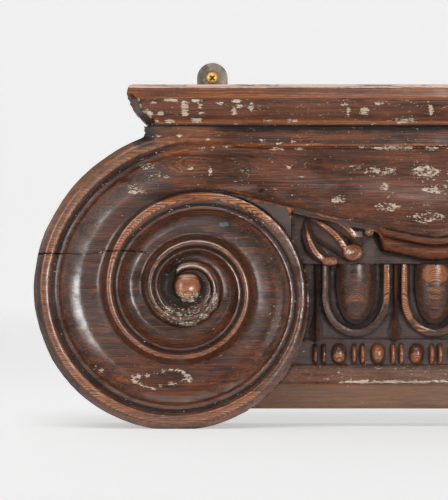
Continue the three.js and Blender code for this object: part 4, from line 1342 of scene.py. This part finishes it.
def front_marks(x, z):
    """The marks of the block's front, each from 0 to 1: bare wood, painted highlight, dirt with painted
    shade, grey dust, brown haze, how light the stain is, old paint, wax and green stain."""
    raised, sunk, low = (read_map(field, x, z) for field in surface_maps())
    left = -np.abs(x)
    out = front_out(x, z)
    patchy, fine = noise_share(x, z, 19, 9, 41), noise_share(x, z, 5, 3, 42)
    marks, on_volute = volute_marks(left, z, patchy, fine)
    off = ~on_volute
    below = lower_edge(left) - z
    in_echinus = off & (z > ASTRAGAL_TOP + 0.4) & (z < ECHINUS_TOP)
    in_string = off & (z > ASTRAGAL_FOOT + 0.2) & (z <= ASTRAGAL_TOP + 0.4)
    on_canalis = off & (below < 0.6) & (left > EYE_X)
    in_leaf = off & (z >= ECHINUS_TOP) & ~on_canalis & (left < -38)
    on_roll = off & (z >= ECHINUS_TOP) & ~on_canalis & ~in_leaf
    on_band = off & (z >= BAND_FOOT)
    low_band = off & (z < ASTRAGAL_FOOT) & (z >= FASCIA_TOP + 0.6)
    fascia = off & (z < FASCIA_TOP + 0.6)

    high = smooth(1.0, 3.6, out - np.where(in_string, 41.5, echinus_ground(z)))
    bare = patches(x, z, WORN)
    # Painted shade as a dark line in the crease along the canalis' lower edge.
    edge_line = 0.8 * hump(below, -0.5, 0.9)
    lip = hump(below, -1.4, 1.3) * smooth(-134, -126, left) * smooth(-106, -118, left)
    ridge, ball = lobe_marks(left, z)
    crest = np.maximum(ridge * smooth(0.0, 0.3, raised), 0.66 * ball)
    # Between leaf and volute: the flat corner, its pale broken end and upper edge, and a painted highlight
    # at its broken corner, with the painted glints on the leaf.
    wedge = smooth(STEP_X + 0.6, STEP_X - 0.6, left)
    broken = hump(left, STEP_X - 0.6, 2.8) * smooth(0, 0.5, below) * smooth(8, 5, below)
    top_line = wedge * hump(below, 1.0, 1.1) * smooth(-128, -112, left)
    painted_glint = hump(left, STEP_X - 2.6, 2.6) * hump(below, 1.6, 2.2) + 1.8 * patches(left, z, LEAF_GLINTS)
    # Painted shadow under the abacus, along the top of the band.
    shadow_under_abacus = smooth(BLOCK_TOP - 4.5, BLOCK_TOP - 1.5, z + 2 * (fine - 0.5))
    # In the zones below, raised parts get painted highlights, and hollows, creases and the roll's
    # farther-back part get painted shade along with dirt.
    zones = [
        (on_canalis, {
            "wear": 0.2 * raised + 0.12 * patchy + 0.5 * lip, "shine": 0.12 * raised,
            "grime": 0.8 * sunk + 0.1 * fine + edge_line,
            "dust": 0.3 * patchy * smooth(-70, -120, left) + 0.1 * fine, "haze": 0.3 * (1 - patchy),
            "tone": 0.6, "paint": 0.34, "wax": 0.3,
        }),
        (on_band, {
            "wear": 0.08 + 0.2 * patchy + 0.3 * hump(z, BAND_FOOT + 1.6, 1.4), "shine": 0.12,
            "grime": 0.9 * shadow_under_abacus + 0.5 * sunk, "dust": 0.12 * fine, "haze": 0, "tone": 0.4,
            "paint": 0.34, "wax": 0.15,
        }),
        (in_leaf, {
            "wear": 0.8 * crest * mix(0.7, 1, patchy) + broken + 0.6 * top_line,
            "shine": 0.8 * smooth(0.3, 0.8, raised) * ridge + 0.8 * painted_glint,
            "grime": (0.3 * low + 0.2 * sunk) * (1 - 0.6 * crest) + 0.3 * wedge * fine * (1 - broken),
            "dust": (0.65 + 0.3 * wedge) * (1 - crest) * (1 - broken) * (1 - 0.8 * top_line), "haze": 0,
            "tone": 0.45, "paint": 0.1, "wax": mix(0.25, 1.0, crest),
        }),
        (on_roll, {
            "wear": 0.04 + 0.14 * raised, "shine": 0.08, "grime": 0.6 * sunk + 0.3 * smooth(62, 59, out),
            "dust": 0.5 * smooth(63.5, 61, out), "haze": 0, "tone": mix(0.2, 0.85, smooth(62, 65, out)),
            "paint": 0.1, "wax": 0.15,
        }),
        (in_echinus, {
            "wear": high * np.maximum(bare, 0.1 * raised), "shine": high * (0.05 + 0.3 * raised),
            "grime": 0.4 * sunk + 0.2 * (high < 0.3) * fine, "dust": mix(0.75, 0.36, high), "haze": 0,
            "tone": 0.2, "paint": 0.16, "wax": mix(0.3, 0.5, high),
        }),
        (in_string, {
            "wear": high * np.maximum(bare, 0.12 * raised), "shine": 0.2 * high,
            "grime": 0.25 * sunk + 0.1 * (1 - high) * fine, "dust": mix(0.8, 0.25, high), "haze": 0,
            "tone": 0.4, "paint": 0.3, "wax": mix(0.2, 0.8, high),
        }),
        (low_band, {
            "wear": 0.1 + 0.14 * patchy, "shine": 0.05, "grime": 0.5 * sunk, "dust": 0.25 + 0.3 * fine,
            "haze": 0.5, "tone": 0.55, "paint": 0.42, "wax": 0.15,
        }),
        (fascia, {
            "wear": 0.18 + 0.5 * hump(z, FASCIA_TOP - 0.6, 1.0) * patchy, "shine": 0.05,
            "grime": 0.3 * sunk, "dust": 0.3 * fine, "haze": 0.85, "tone": 0.65, "paint": 0.24,
            "wax": 0.1,
        }),
    ]
    for where, values in zones:
        for name, value in values.items():
            marks[name] = np.where(where, value, marks[name])
    # The marks run smoothly into the canalis' where the volute begins.
    start = smooth(26, 3, np.abs(left - EYE_X)) * (z > EYE_HEIGHT + 52)
    level = {
        "wear": 0.22 + 0.25 * patchy + 0.2 * raised, "shine": 0.15, "grime": 0.8 * sunk + 0.1,
        "dust": 0.25 * fine, "haze": 0.2, "tone": 0.6, "paint": 0.34, "wax": 0.4,
    }
    for name, value in level.items():
        marks[name] = mix(marks[name], value, start)
    corner = block_corner(x, z, 11, 4)
    for name in ("wear", "haze"):
        marks[name] = marks[name] * (1 - corner)
    at_least(marks, "dust", 0.7 * corner)
    loss_up = z - CURL_Z - 1.6 * np.sin((x - CURL_X) / 5.5)
    loss = np.hypot((x - CURL_X) / CURL_HALF_X, loss_up / CURL_HALF_Z)
    corner_grime = corner * mix(0.3, 0.9, fine)
    for value in (corner_grime, 0.45 * smooth(1.05, 0.85, loss), patches(x, z, NAIL_HOLES)):
        at_least(marks, "grime", value)
    quirk = smooth(2.4, 0.8, np.abs(z - BAND_FOOT)) * (left > EYE_X + 14)
    ledge = smooth(1.0, 0.5, np.abs(z - FASCIA_TOP - 1.1)) * off
    quirk_paint = quirk * (0.45 + 0.4 * smooth(-60, -38, x)) * (0.5 + 0.55 * fine)
    ledge_paint = ledge * (0.4 + 0.56 * smooth(-66, -58, x)) * mix(0.62, 1.1, fine)
    curl_paint = 1.15 * hump(loss, 1.0, 0.4) * mix(0.66, 1.0, fine)
    for value in (patches(x, z, PAINT), quirk_paint, ledge_paint, curl_paint):
        at_least(marks, "paint", value)
    marks["teal"] = patches(x, z, GREENED)
    return marks


# Old cream paint on the abacus.
ABACUS_PAINT = [
    (-162.7, 201, 7, 1.6, 0.84), (-174.3, 199.5, 4, 1.8, 0.72), (-177.7, 192.6, 6, 4.5, 0.8),
    (-182.5, 198, 2.6, 3, 0.66), (-172.9, 188.9, 5, 1.5, 0.86), (-168.8, 193.3, 3, 1.8, 0.8),
    (-164, 188.6, 4, 2.2, 0.84), (-154.5, 195.4, 3.4, 6.5, 0.92), (-154.9, 200, 3.4, 1.4, 0.8),
    (-147, 200.8, 4.4, 1.4, 0.84), (-145, 197.5, 2.4, 2.2, 0.92), (-143.6, 193.8, 3.2, 1.1, 0.84),
    (-147, 189.2, 5.4, 2.4, 0.88), (-132.8, 199.1, 3.8, 1.3, 0.8), (-122.6, 200.5, 4.2, 1.4, 0.84),
    (-121.2, 197.6, 2.6, 2.4, 0.84), (-124.3, 194.6, 2.6, 4, 0.88), (-113.5, 197, 3, 4, 0.84),
    (-104, 189, 5, 1.5, 0.7), (-88, 188.6, 6, 1.6, 0.6), (-54.4, 194.4, 2.6, 4, 0.86),
    (-57, 198.6, 4, 1.2, 0.7), (-44.6, 194.5, 4.4, 3.6, 0.78), (-36, 199, 4, 1.6, 0.74),
    (-20, 189, 16, 3, 0.6), (-4, 195, 2.6, 5, 0.86), (20, 191, 9, 4, 0.6), (60, 196, 12, 3, 0.55),
    (100, 190, 12, 4, 0.6), (150, 193, 14, 4, 0.55),
]


# The marks away from the front: on the sides, the top and the back.
QUIET = {"wear": 0.14, "shine": 0.05, "grime": 0.3, "dust": 0.35, "haze": 0.3, "tone": 0.4, "paint": 0.1,
         "wax": 0.3, "teal": 0}
ABACUS_QUIET = {**QUIET, "wear": 0.16, "shine": 0.1, "dust": 0.4}


def faded(marks, quiet, on_front):
    """Marks that hold on the front and give way to the quiet ones elsewhere."""
    return {name: mix(quiet[name], values, on_front) for name, values in marks.items()}


def abacus_marks(x, out, z):
    """The marks of the abacus, as for the block's front."""
    rise = abacus_rise(z)
    patchy, fine = noise_share(x, z, 23, 6, 61), noise_share(x, z, 5, 2.5, 62)
    crumbs = smooth(-0.3, 0.5, lattice_noise(x, z, 1.7, 1.2, 63))
    split = (x + abacus_end(z) < split_width(z) + 0.2) & (rise < 0.7)
    fillet = smooth(0.64, 0.68, rise)
    arris, top_edge, foot_edge = hump(rise, 0.67, 0.07), smooth(0.88, 0.93, rise), hump(rise, 0.1, 0.09)
    wear = mix(0.14 + 0.14 * patchy, 0.28 + 0.14 * patchy, fillet) + 0.25 * arris + 0.25 * foot_edge
    # Dark at the foot's joint, painted shade just under the fillet's arris, and dirt.
    grime = 0.95 * smooth(0.06, 0.0, rise) + 0.5 * hump(rise, 0.61, 0.05) * fine
    grime += 0.2 * (1 - fillet) * fine
    grime += 0.25 * fillet * hump(rise, 0.84, 0.1) * smooth(0.4, 0.8, patchy)
    paint = np.maximum(0.26 * (1 - fillet) + 0.12, 1.2 * patches(x, z, ABACUS_PAINT)) * (out > FACE - 2)
    # The top edge and the fillet's arris get a painted highlight.
    marks = {
        "wear": np.where(split, 0.08, wear), "shine": 0.25 * arris + 1.4 * top_edge,
        "grime": np.where(split, 1 - crumbs, grime),
        "dust": np.where(split, 1, 0.1 * fine + 0.06 * (1 - fillet)),
        "haze": np.where(split, 0.9 * crumbs, 0.1 * (1 - patchy)), "tone": 0.9,
        "paint": paint + 0.55 * split * crumbs, "wax": np.where(split, 0, 0.4), "teal": 0,
    }
    return faded(marks, ABACUS_QUIET, smooth(4, 1.5, FACE + moulding(z) - out))


def keep_marks(piece, marks):
    """Keeps marks on a piece's vertices, where its material reads them."""
    for name, values in marks.items():
        layer = piece.data.attributes.new(name, "FLOAT", "POINT")
        whole = np.broadcast_to(np.clip(values, 0, 1), len(piece.data.vertices))
        layer.data.foreach_set("value", whole.astype(np.float32))


def places_of(piece):
    """The x, out and z of each of a piece's vertices."""
    co = np.zeros(len(piece.data.vertices) * 3, np.float32)
    piece.data.vertices.foreach_get("co", co)
    x, y, z = (co.reshape(-1, 3) / MM).T.astype(float)
    return x, WALL - y, z


# ---- materials ----


class Graph:
    """A short way to lay out a material's nodes. An input may be a socket or a plain value."""

    def __init__(self, name):
        self.material = bpy.data.materials.new(name)
        self.material.use_nodes = True
        self.tree = self.material.node_tree
        self.shader = self.tree.nodes["Principled BSDF"]

    def put(self, socket, value):
        if isinstance(value, bpy.types.NodeSocket):
            self.tree.links.new(value, socket)
        elif isinstance(value, tuple) and len(value) == 3 and socket.type == "RGBA":
            socket.default_value = (*value, 1)
        else:
            socket.default_value = value

    def node(self, kind, inputs, **settings):
        made = self.tree.nodes.new(kind)
        for name, value in settings.items():
            setattr(made, name, value)
        for key, value in inputs.items():
            self.put(made.inputs[key], value)
        return made

    def math(self, operation, a, b=0.0):
        return self.node("ShaderNodeMath", {0: a, 1: b}, operation=operation).outputs[0]

    def add(self, a, b):
        return self.math("ADD", a, b)

    def times(self, a, b):
        return self.math("MULTIPLY", a, b)

    def step(self, value, low, high):
        """0 below `low`, 1 above `high`, and smooth between. `low` may be the larger."""
        inputs = {0: value, 1: low, 2: high}
        if low > high:
            inputs = {0: value, 1: high, 2: low, 3: 1.0, 4: 0.0}
        return self.node("ShaderNodeMapRange", inputs, interpolation_type="SMOOTHSTEP").outputs[0]

    def blend(self, share, a, b):
        made = self.tree.nodes.new("ShaderNodeMix")
        made.data_type = "RGBA"
        for key, value in (("Factor", share), ("A", a), ("B", b)):
            self.put(made.inputs[key], value)
        return made.outputs["Result"]

    def cover(self, colour, top, share, amount):
        """`colour` with `top` laid over it, where `share` says, in part."""
        return self.blend(self.times(share, amount), colour, top)

    def total(self, value, *parts):
        """`value` with each [value, amount] of the parts added."""
        for part, amount in parts:
            value = self.add(value, self.times(part, amount))
        return value

    def ragged(self, mark, low, high, *noises):
        """Where a mark shows: 0 below `low`, 1 above `high`, its edges torn by [noise, amount] pairs."""
        for noise, amount in noises:
            mark = self.add(mark, self.times(self.add(noise, -0.5), amount))
        return self.step(mark, low, high)

    def noise(self, place, scale, detail=2.0, roughness=0.5):
        """Noise with a scale for each direction, or the same for all."""
        inputs = {"Vector": self.scaled(place, scale), "Scale": 1.0, "Detail": detail,
                  "Roughness": roughness}
        return self.node("ShaderNodeTexNoise", inputs).outputs["Fac"]

    def line_noise(self, distance, scale, detail):
        inputs = {"W": self.times(distance, scale), "Scale": 1.0, "Detail": detail}
        return self.node("ShaderNodeTexNoise", inputs, noise_dimensions="1D").outputs["Fac"]

    def mark(self, name):
        return self.node("ShaderNodeAttribute", {}, attribute_name=name).outputs["Fac"]

    def scaled(self, place, scale):
        """The place multiplied by a number for each direction, or by one for all."""
        scale = scale if isinstance(scale, tuple) else (scale, scale, scale)
        return self.node("ShaderNodeVectorMath", {0: place, 1: scale}, operation="MULTIPLY").outputs[0]

    def place(self):
        """The place on the piece, in millimetres."""
        return self.scaled(self.node("ShaderNodeTexCoord", {}).outputs["Object"], 1 / MM)

    def surface(self, values):
        for name, value in values.items():
            self.put(self.shader.inputs[name], value)

    def finished(self, height, strength):
        """The material, with its fine relief given in millimetres."""
        bump = self.node("ShaderNodeBump", {"Strength": strength, "Distance": MM, "Height": height})
        self.surface({"Normal": bump.outputs[0]})
        return self.material


def wood_rings(graph, place, pith, ring):
    """Growth rings round a pith that runs along x: 0 in the soft early wood, 1 in the dark late wood."""
    slow = graph.noise(place, (0.006, 0.022, 0.022))
    quick = graph.noise(place, (0.02, 0.09, 0.09))
    parts = graph.node("ShaderNodeSeparateXYZ", {0: place})
    dy = graph.add(parts.outputs[1], -pith[0])
    dz = graph.add(parts.outputs[2], -pith[1])
    distance = graph.math("SQRT", graph.add(graph.times(dy, dy), graph.times(dz, dz)))
    distance = graph.total(distance, (slow, 5.0), (quick, 0.8))
    years = graph.total(graph.times(distance, 1 / ring), (graph.line_noise(distance, 0.16, 2.0), 5.0))
    phase = graph.math("FRACT", years)
    late = graph.times(graph.step(phase, 0.42, 0.8), graph.step(phase, 1.0, 0.93))
    return graph.times(late, graph.step(graph.line_noise(distance, 0.55, 1.0), 0.15, 0.42))


STAIN_DARK = (0.024, 0.0098, 0.0055)
STAIN_RED = (0.135, 0.036, 0.012)
STAIN_LINE = (0.008, 0.0042, 0.0026)
STAIN_PALE = (0.2, 0.066, 0.026)
STAIN_BRIGHT = (0.21, 0.062, 0.018)
RAW_EARLY = (0.44, 0.148, 0.036)
RAW_MIDDLE = (0.25, 0.066, 0.017)
RAW_LATE = (0.03, 0.01, 0.005)
# A pale pink painted highlight.
HIGHLIGHT_PINK = (0.66, 0.48, 0.41)
# Near-black, for dirt and for painted shade in hollows.
DIRT_AND_SHADE_DARK = (0.011, 0.007, 0.0055)
DUST = (0.088, 0.073, 0.072)
HAZE = (0.185, 0.105, 0.062)
CREAM = (0.63, 0.54, 0.42)
CREAM_DULL = (0.33, 0.255, 0.185)
TEAL = (0.06, 0.16, 0.15)
STEEL_DARK = (0.16, 0.125, 0.1)
STEEL_BROWN = (0.33, 0.27, 0.225)
STEEL_RUBBED = (0.3, 0.27, 0.24)
RUST_PIT = (0.05, 0.036, 0.027)
BRASS = (0.95, 0.58, 0.17)
BRASS_TARNISHED = (0.8, 0.43, 0.11)
# Near-black, for dirt and painted shade in the screws' cross recess.
BRASS_DIRT_AND_SHADE = (0.05, 0.025, 0.012)


def pine_material(name, pith, ring):
    """Old pine, stained dark and waxed, worn orange on its edges, with dirt and specks of cream paint,
    painted shade in its hollows and painted highlights on its edges.
    `ring` is the breadth of a year's growth."""
    graph = Graph(name)
    place = graph.place()
    late = wood_rings(graph, place, pith, ring)
    fibre = graph.noise(place, (0.05, 1.5, 1.5), 3.0, 0.65)
    streak = graph.noise(place, (0.014, 0.32, 0.32), 4.0, 0.6)
    blotch = graph.noise(place, (0.04, 0.07, 0.07), 4.0, 0.6)
    speck = graph.noise(place, (0.55, 1.1, 1.1), 4.0, 0.65)
    torn = graph.noise(place, (0.16, 0.5, 0.5), 4.0, 0.68)
    scratch = graph.noise(place, (0.08, 2.3, 2.3), 3.0, 0.6)
    thread = graph.noise(place, (0.03, 0.75, 0.75), 3.0, 0.6)
    hair = graph.noise(place, (0.022, 1.9, 1.9), 2.0, 0.55)
    wear, shine, grime, dust, haze, tone, paint, wax, teal = (graph.mark(mark) for mark in QUIET)

    shade = graph.total(0.0, (blotch, 0.4), (streak, 0.6), (tone, 0.2))
    stain = graph.blend(graph.step(shade, 0.46, 0.74), STAIN_DARK, STAIN_RED)
    stain = graph.cover(stain, STAIN_BRIGHT, graph.step(thread, 0.54, 0.68), 0.55)
    stain = graph.cover(stain, STAIN_DARK, graph.step(thread, 0.46, 0.34), 0.6)
    stain = graph.cover(stain, STAIN_PALE, graph.step(fibre, 0.52, 0.7), 0.5)
    stain = graph.cover(stain, STAIN_LINE, graph.step(hair, 0.54, 0.66), 0.7)
    raw = graph.blend(graph.step(fibre, 0.3, 0.7), RAW_EARLY, RAW_MIDDLE)
    worn = graph.ragged(wear, 0.2, 0.7, (torn, 0.6), (streak, 0.6), (speck, 0.3))
    colour = graph.blend(worn, stain, raw)
    # Painted highlights in pale pink on edges, tops and glints, where the roughness is lower too.
    highlight_mask = graph.ragged(shine, 0.55, 0.95, (torn, 0.9), (speck, 0.5))
    colour = graph.cover(colour, HIGHLIGHT_PINK, highlight_mask, 0.8)
    lines = graph.times(late, graph.add(0.32, graph.times(worn, 0.68)))
    colour = graph.blend(lines, colour, graph.blend(worn, STAIN_LINE, RAW_LATE))
    dusty = graph.ragged(dust, 0.22, 0.9, (speck, 0.7), (torn, 0.6))
    dusty = graph.times(dusty, graph.add(1.0, graph.times(highlight_mask, -0.8)))
    colour = graph.cover(colour, DUST, dusty, 0.76)
    colour = graph.cover(colour, HAZE, graph.ragged(haze, 0.25, 0.95, (fibre, 1.1), (speck, 0.4)), 0.6)
    # Near-black dirt, together with painted shade in hollows, grooves and on slopes turned from the light.
    dirt_and_shade_mask = graph.ragged(grime, 0.2, 0.8, (torn, 0.7), (streak, 0.4))
    colour = graph.cover(colour, DIRT_AND_SHADE_DARK, dirt_and_shade_mask, 0.92)
    scuffed = graph.add(0.06, graph.times(haze, 0.6))
    colour = graph.cover(colour, HAZE, graph.step(scratch, 0.54, 0.66), scuffed)
    colour = graph.cover(colour, TEAL, graph.ragged(teal, 0.5, 0.8, (speck, 0.9)), 0.75)
    painted = graph.ragged(paint, 0.68, 0.78, (speck, 1.9), (torn, 1.2))
    cream = graph.blend(graph.step(fibre, 0.35, 0.6), CREAM_DULL, CREAM)
    colour = graph.cover(colour, cream, painted, 0.86)

    rough = graph.total(0.42, (blotch, 0.14), (dirt_and_shade_mask, 0.18), (dusty, 0.2), (painted, 0.25), (highlight_mask, -0.12))
    dull = graph.math("MAXIMUM", graph.math("MAXIMUM", dusty, dirt_and_shade_mask), painted)
    wax = graph.times(wax, graph.add(1.0, graph.times(dull, -0.85)))
    wax = graph.times(wax, graph.step(blotch, 0.25, 0.5))
    graph.surface({"Base Color": colour, "Roughness": rough, "Coat Weight": wax, "Coat Roughness": 0.25,
                   "Coat IOR": 1.65, "Specular IOR Level": 0.18})
    height = graph.total(0.0, (late, -0.07), (fibre, 0.1), (speck, 0.06), (scratch, 0.03), (painted, 0.12))
    return graph.finished(height, 1.0)


def steel_material():
    """Old steel: brown-grey, mottled with rust and rubbed brighter in streaks."""
    graph = Graph("aged_steel")
    place = graph.place()
    mottle = graph.noise(place, 0.16, 5.0, 0.62)
    grit = graph.noise(place, 1.4, 3.0, 0.6)
    brushed = graph.noise(place, (2.2, 0.5, 0.12), 3.0, 0.6)
    colour = graph.blend(graph.step(mottle, 0.38, 0.62), STEEL_DARK, STEEL_BROWN)
    colour = graph.cover(colour, RUST_PIT, graph.step(grit, 0.5, 0.72), 0.5)
    colour = graph.cover(colour, STEEL_RUBBED, graph.step(brushed, 0.55, 0.75), 0.35)
    graph.surface({"Base Color": colour, "Metallic": 0.7, "Roughness": graph.total(0.34, (mottle, 0.3))})
    return graph.finished(graph.add(graph.times(grit, 0.04), graph.times(mottle, 0.1)), 0.8)


def brass_material():
    """Brass, a little tarnished, darkened by dirt and by painted shade in its cross recess where its mark
    says.
    """
    graph = Graph("worn_brass")
    place = graph.place()
    mottle = graph.noise(place, 0.5, 4.0, 0.6)
    grit = graph.noise(place, 2.4, 3.0, 0.6)
    dirt_and_shade_mask = graph.ragged(graph.mark("grime"), 0.3, 0.7, (grit, 0.6))
    colour = graph.blend(graph.step(mottle, 0.35, 0.65), BRASS, BRASS_TARNISHED)
    colour = graph.blend(dirt_and_shade_mask, colour, BRASS_DIRT_AND_SHADE)
    graph.surface({"Base Color": colour, "Metallic": graph.total(0.8, (dirt_and_shade_mask, -0.7)),
                   "Roughness": graph.total(0.42, (grit, 0.16))})
    return graph.finished(graph.times(grit, 0.05), 0.5)


# ---- pieces ----


# Where the middle of each board's tree lies, as y and z.
BLOCK_PITH = (620.0, 430.0)
ABACUS_PITH = (420.0, -90.0)


def finish_piece(piece, node, material):
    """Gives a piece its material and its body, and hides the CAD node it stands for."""
    piece.data.materials.append(material)
    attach(piece, "root")
    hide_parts(node)


made, faces, count = front_mesh()
side_worn = (made[:count, 1] < BLOCK_TOP - 0.1) & (made[:count, 1] > 0.1)
block = mesh_object("block_carving", *closed_mesh(made, faces, count, front_out, side_worn))
cut(block, let_in(-PLATE_X) + let_in(PLATE_X))
lay_smooth(block, WOOD_CRISP)
x, out, z = places_of(block)
keep_marks(block, faded(front_marks(x, z), QUIET, smooth(2.5, 0.5, front_out(x, z) - out)))
finish_piece(block, "carved_block", pine_material("old_pine", BLOCK_PITH, 0.62))

abacus = mesh_object("abacus_moulding", *abacus_mesh())
cut(abacus, let_in(-PLATE_X) + let_in(PLATE_X))
lay_smooth(abacus, WOOD_CRISP)
x, out, z = places_of(abacus)
keep_marks(abacus, abacus_marks(x, out, z))
finish_piece(abacus, "abacus", pine_material("abacus_pine", ABACUS_PITH, 0.8))

steel, brass = steel_material(), brass_material()
for side, middle_x in (("left", -PLATE_X), ("right", PLATE_X)):
    finish_piece(hanging_plate("steel_plate_" + side, middle_x), "hanging_plate_" + side, steel)
    screw = wall_screw("brass_screw_" + side, middle_x)
    x, out, z = places_of(screw)
    away = np.hypot(x - middle_x, z - TAB_MIDDLE) / WALL_HEAD
    dome = HEAD_SEAT + HEAD_EDGE + HEAD_DOME * np.sqrt(np.maximum(1 - away ** 2, 0))
    # Painted shade and dirt in the cross recess, and dirt at the head's rim.
    in_recess = smooth(0.15, 0.7, dome - out) * (away < 0.8)
    keep_marks(screw, {"grime": np.maximum(in_recess, 0.2 * smooth(0.9, 1, away))})
    finish_piece(screw, "wall_screw_" + side, brass)
    for number, dx in enumerate((-WOOD_SCREW_X, WOOD_SCREW_X), 1):
        piece = plate_screw("plate_fixing_%s_%d" % (side, number), middle_x + dx)
        finish_piece(piece, "plate_screw_%s_%d" % (side, number), steel)

# ---- stage ----


GLOW_NEAR, GLOW_FAR = 0.44, 0.47


def backdrop_material():
    """Matt white that glows a little behind the object, so the backdrop is evenly bright."""
    graph = Graph("studio_white")
    where = graph.node("ShaderNodeTexCoord", {}).outputs["Object"]
    away = graph.node("ShaderNodeVectorMath", {0: where}, operation="LENGTH").outputs["Value"]
    glow = graph.node("ShaderNodeMapRange", {0: away, 1: 0.3, 2: 5.0, 3: GLOW_NEAR, 4: GLOW_FAR}).outputs[0]
    behind = graph.step(graph.node("ShaderNodeSeparateXYZ", {0: where}).outputs[1], -1.4, 0.3)
    graph.surface({"Base Color": (0.8, 0.8, 0.8), "Roughness": 0.8, "Specular IOR Level": 0.1,
                   "Emission Color": (1, 1, 1), "Emission Strength": graph.times(glow, behind)})
    return graph.material


def soft_light(name, place, aim, size, power):
    """A rectangular lamp at a place, aimed at another."""
    light = bpy.data.lights.new(name, "AREA")
    light.shape = "RECTANGLE"
    light.size, light.size_y = size
    light.energy = power
    lamp = add_object(name, light)
    lamp.location = place
    lamp.rotation_euler = (Vector(aim) - Vector(place)).to_track_quat("-Z", "Y").to_euler()


def studio_floor():
    """A round pale floor that curves up, far off, into a wall all round. Its lengths are metres."""
    flat, bend, sides = 4.0, 2.0, 96
    line = [(1.2, 0.0), (2.6, 0.0), (flat, 0.0)]
    for turn in np.radians(np.arange(7.5, 91, 7.5)):
        line.append((flat + bend * math.sin(turn), bend * (1 - math.cos(turn))))
    line.append((flat + bend, 3.6))
    points = [(0, 0, 0)]
    for radius, height in line:
        for turn in np.arange(sides) * 2 * math.pi / sides:
            points.append((radius * math.cos(turn), radius * math.sin(turn), height))
    faces = [(0, 1 + i, 1 + (i + 1) % sides) for i in range(sides)]
    faces += [face[::-1] for face in between_loops(sides, len(line), 1)]
    mesh = bpy.data.meshes.new("studio_floor")
    mesh.from_pydata(points, [], faces)
    mesh.polygons.foreach_set("use_smooth", [True] * len(mesh.polygons))
    return add_object("studio_floor", mesh)


CAMERA_X, CAMERA_Z = -0.1303, 0.1098
CAMERA_AWAY = 1.75             # from the carving's front plane
VIEW_HIGH = 0.3062             # what the picture's height covers at that plane
SENSOR = 36

camera = add_object("camera", bpy.data.cameras.new("camera"))
camera.location = (CAMERA_X, (WALL - FACE) * MM - CAMERA_AWAY, CAMERA_Z)
camera.rotation_euler = (math.radians(90), 0, 0)
camera.data.sensor_fit = "VERTICAL"
camera.data.sensor_height = SENSOR
camera.data.lens = SENSOR * CAMERA_AWAY / VIEW_HIGH
camera.data.clip_end = 50
bpy.context.scene.camera = camera

floor = studio_floor()
floor.data.materials.append(backdrop_material())

world = bpy.data.worlds.new("studio")
world.use_nodes = True
background = world.node_tree.nodes["Background"].inputs
background["Color"].default_value = (1, 1, 1, 1)
background["Strength"].default_value = 0.26
bpy.context.scene.world = world
bpy.context.scene.view_settings.view_transform = "Standard"

middle = (CAMERA_X, 0, CAMERA_Z)
soft_light("key", (0.42, -1.35, 0.1), middle, (0.54, 0.56), 16)
soft_light("top", (-0.4, -0.8, 1.4), middle, (1.2, 0.5), 5.5)
soft_light("fill", (-1.3, -1.2, 0.4), middle, (0.5, 0.9), 7)
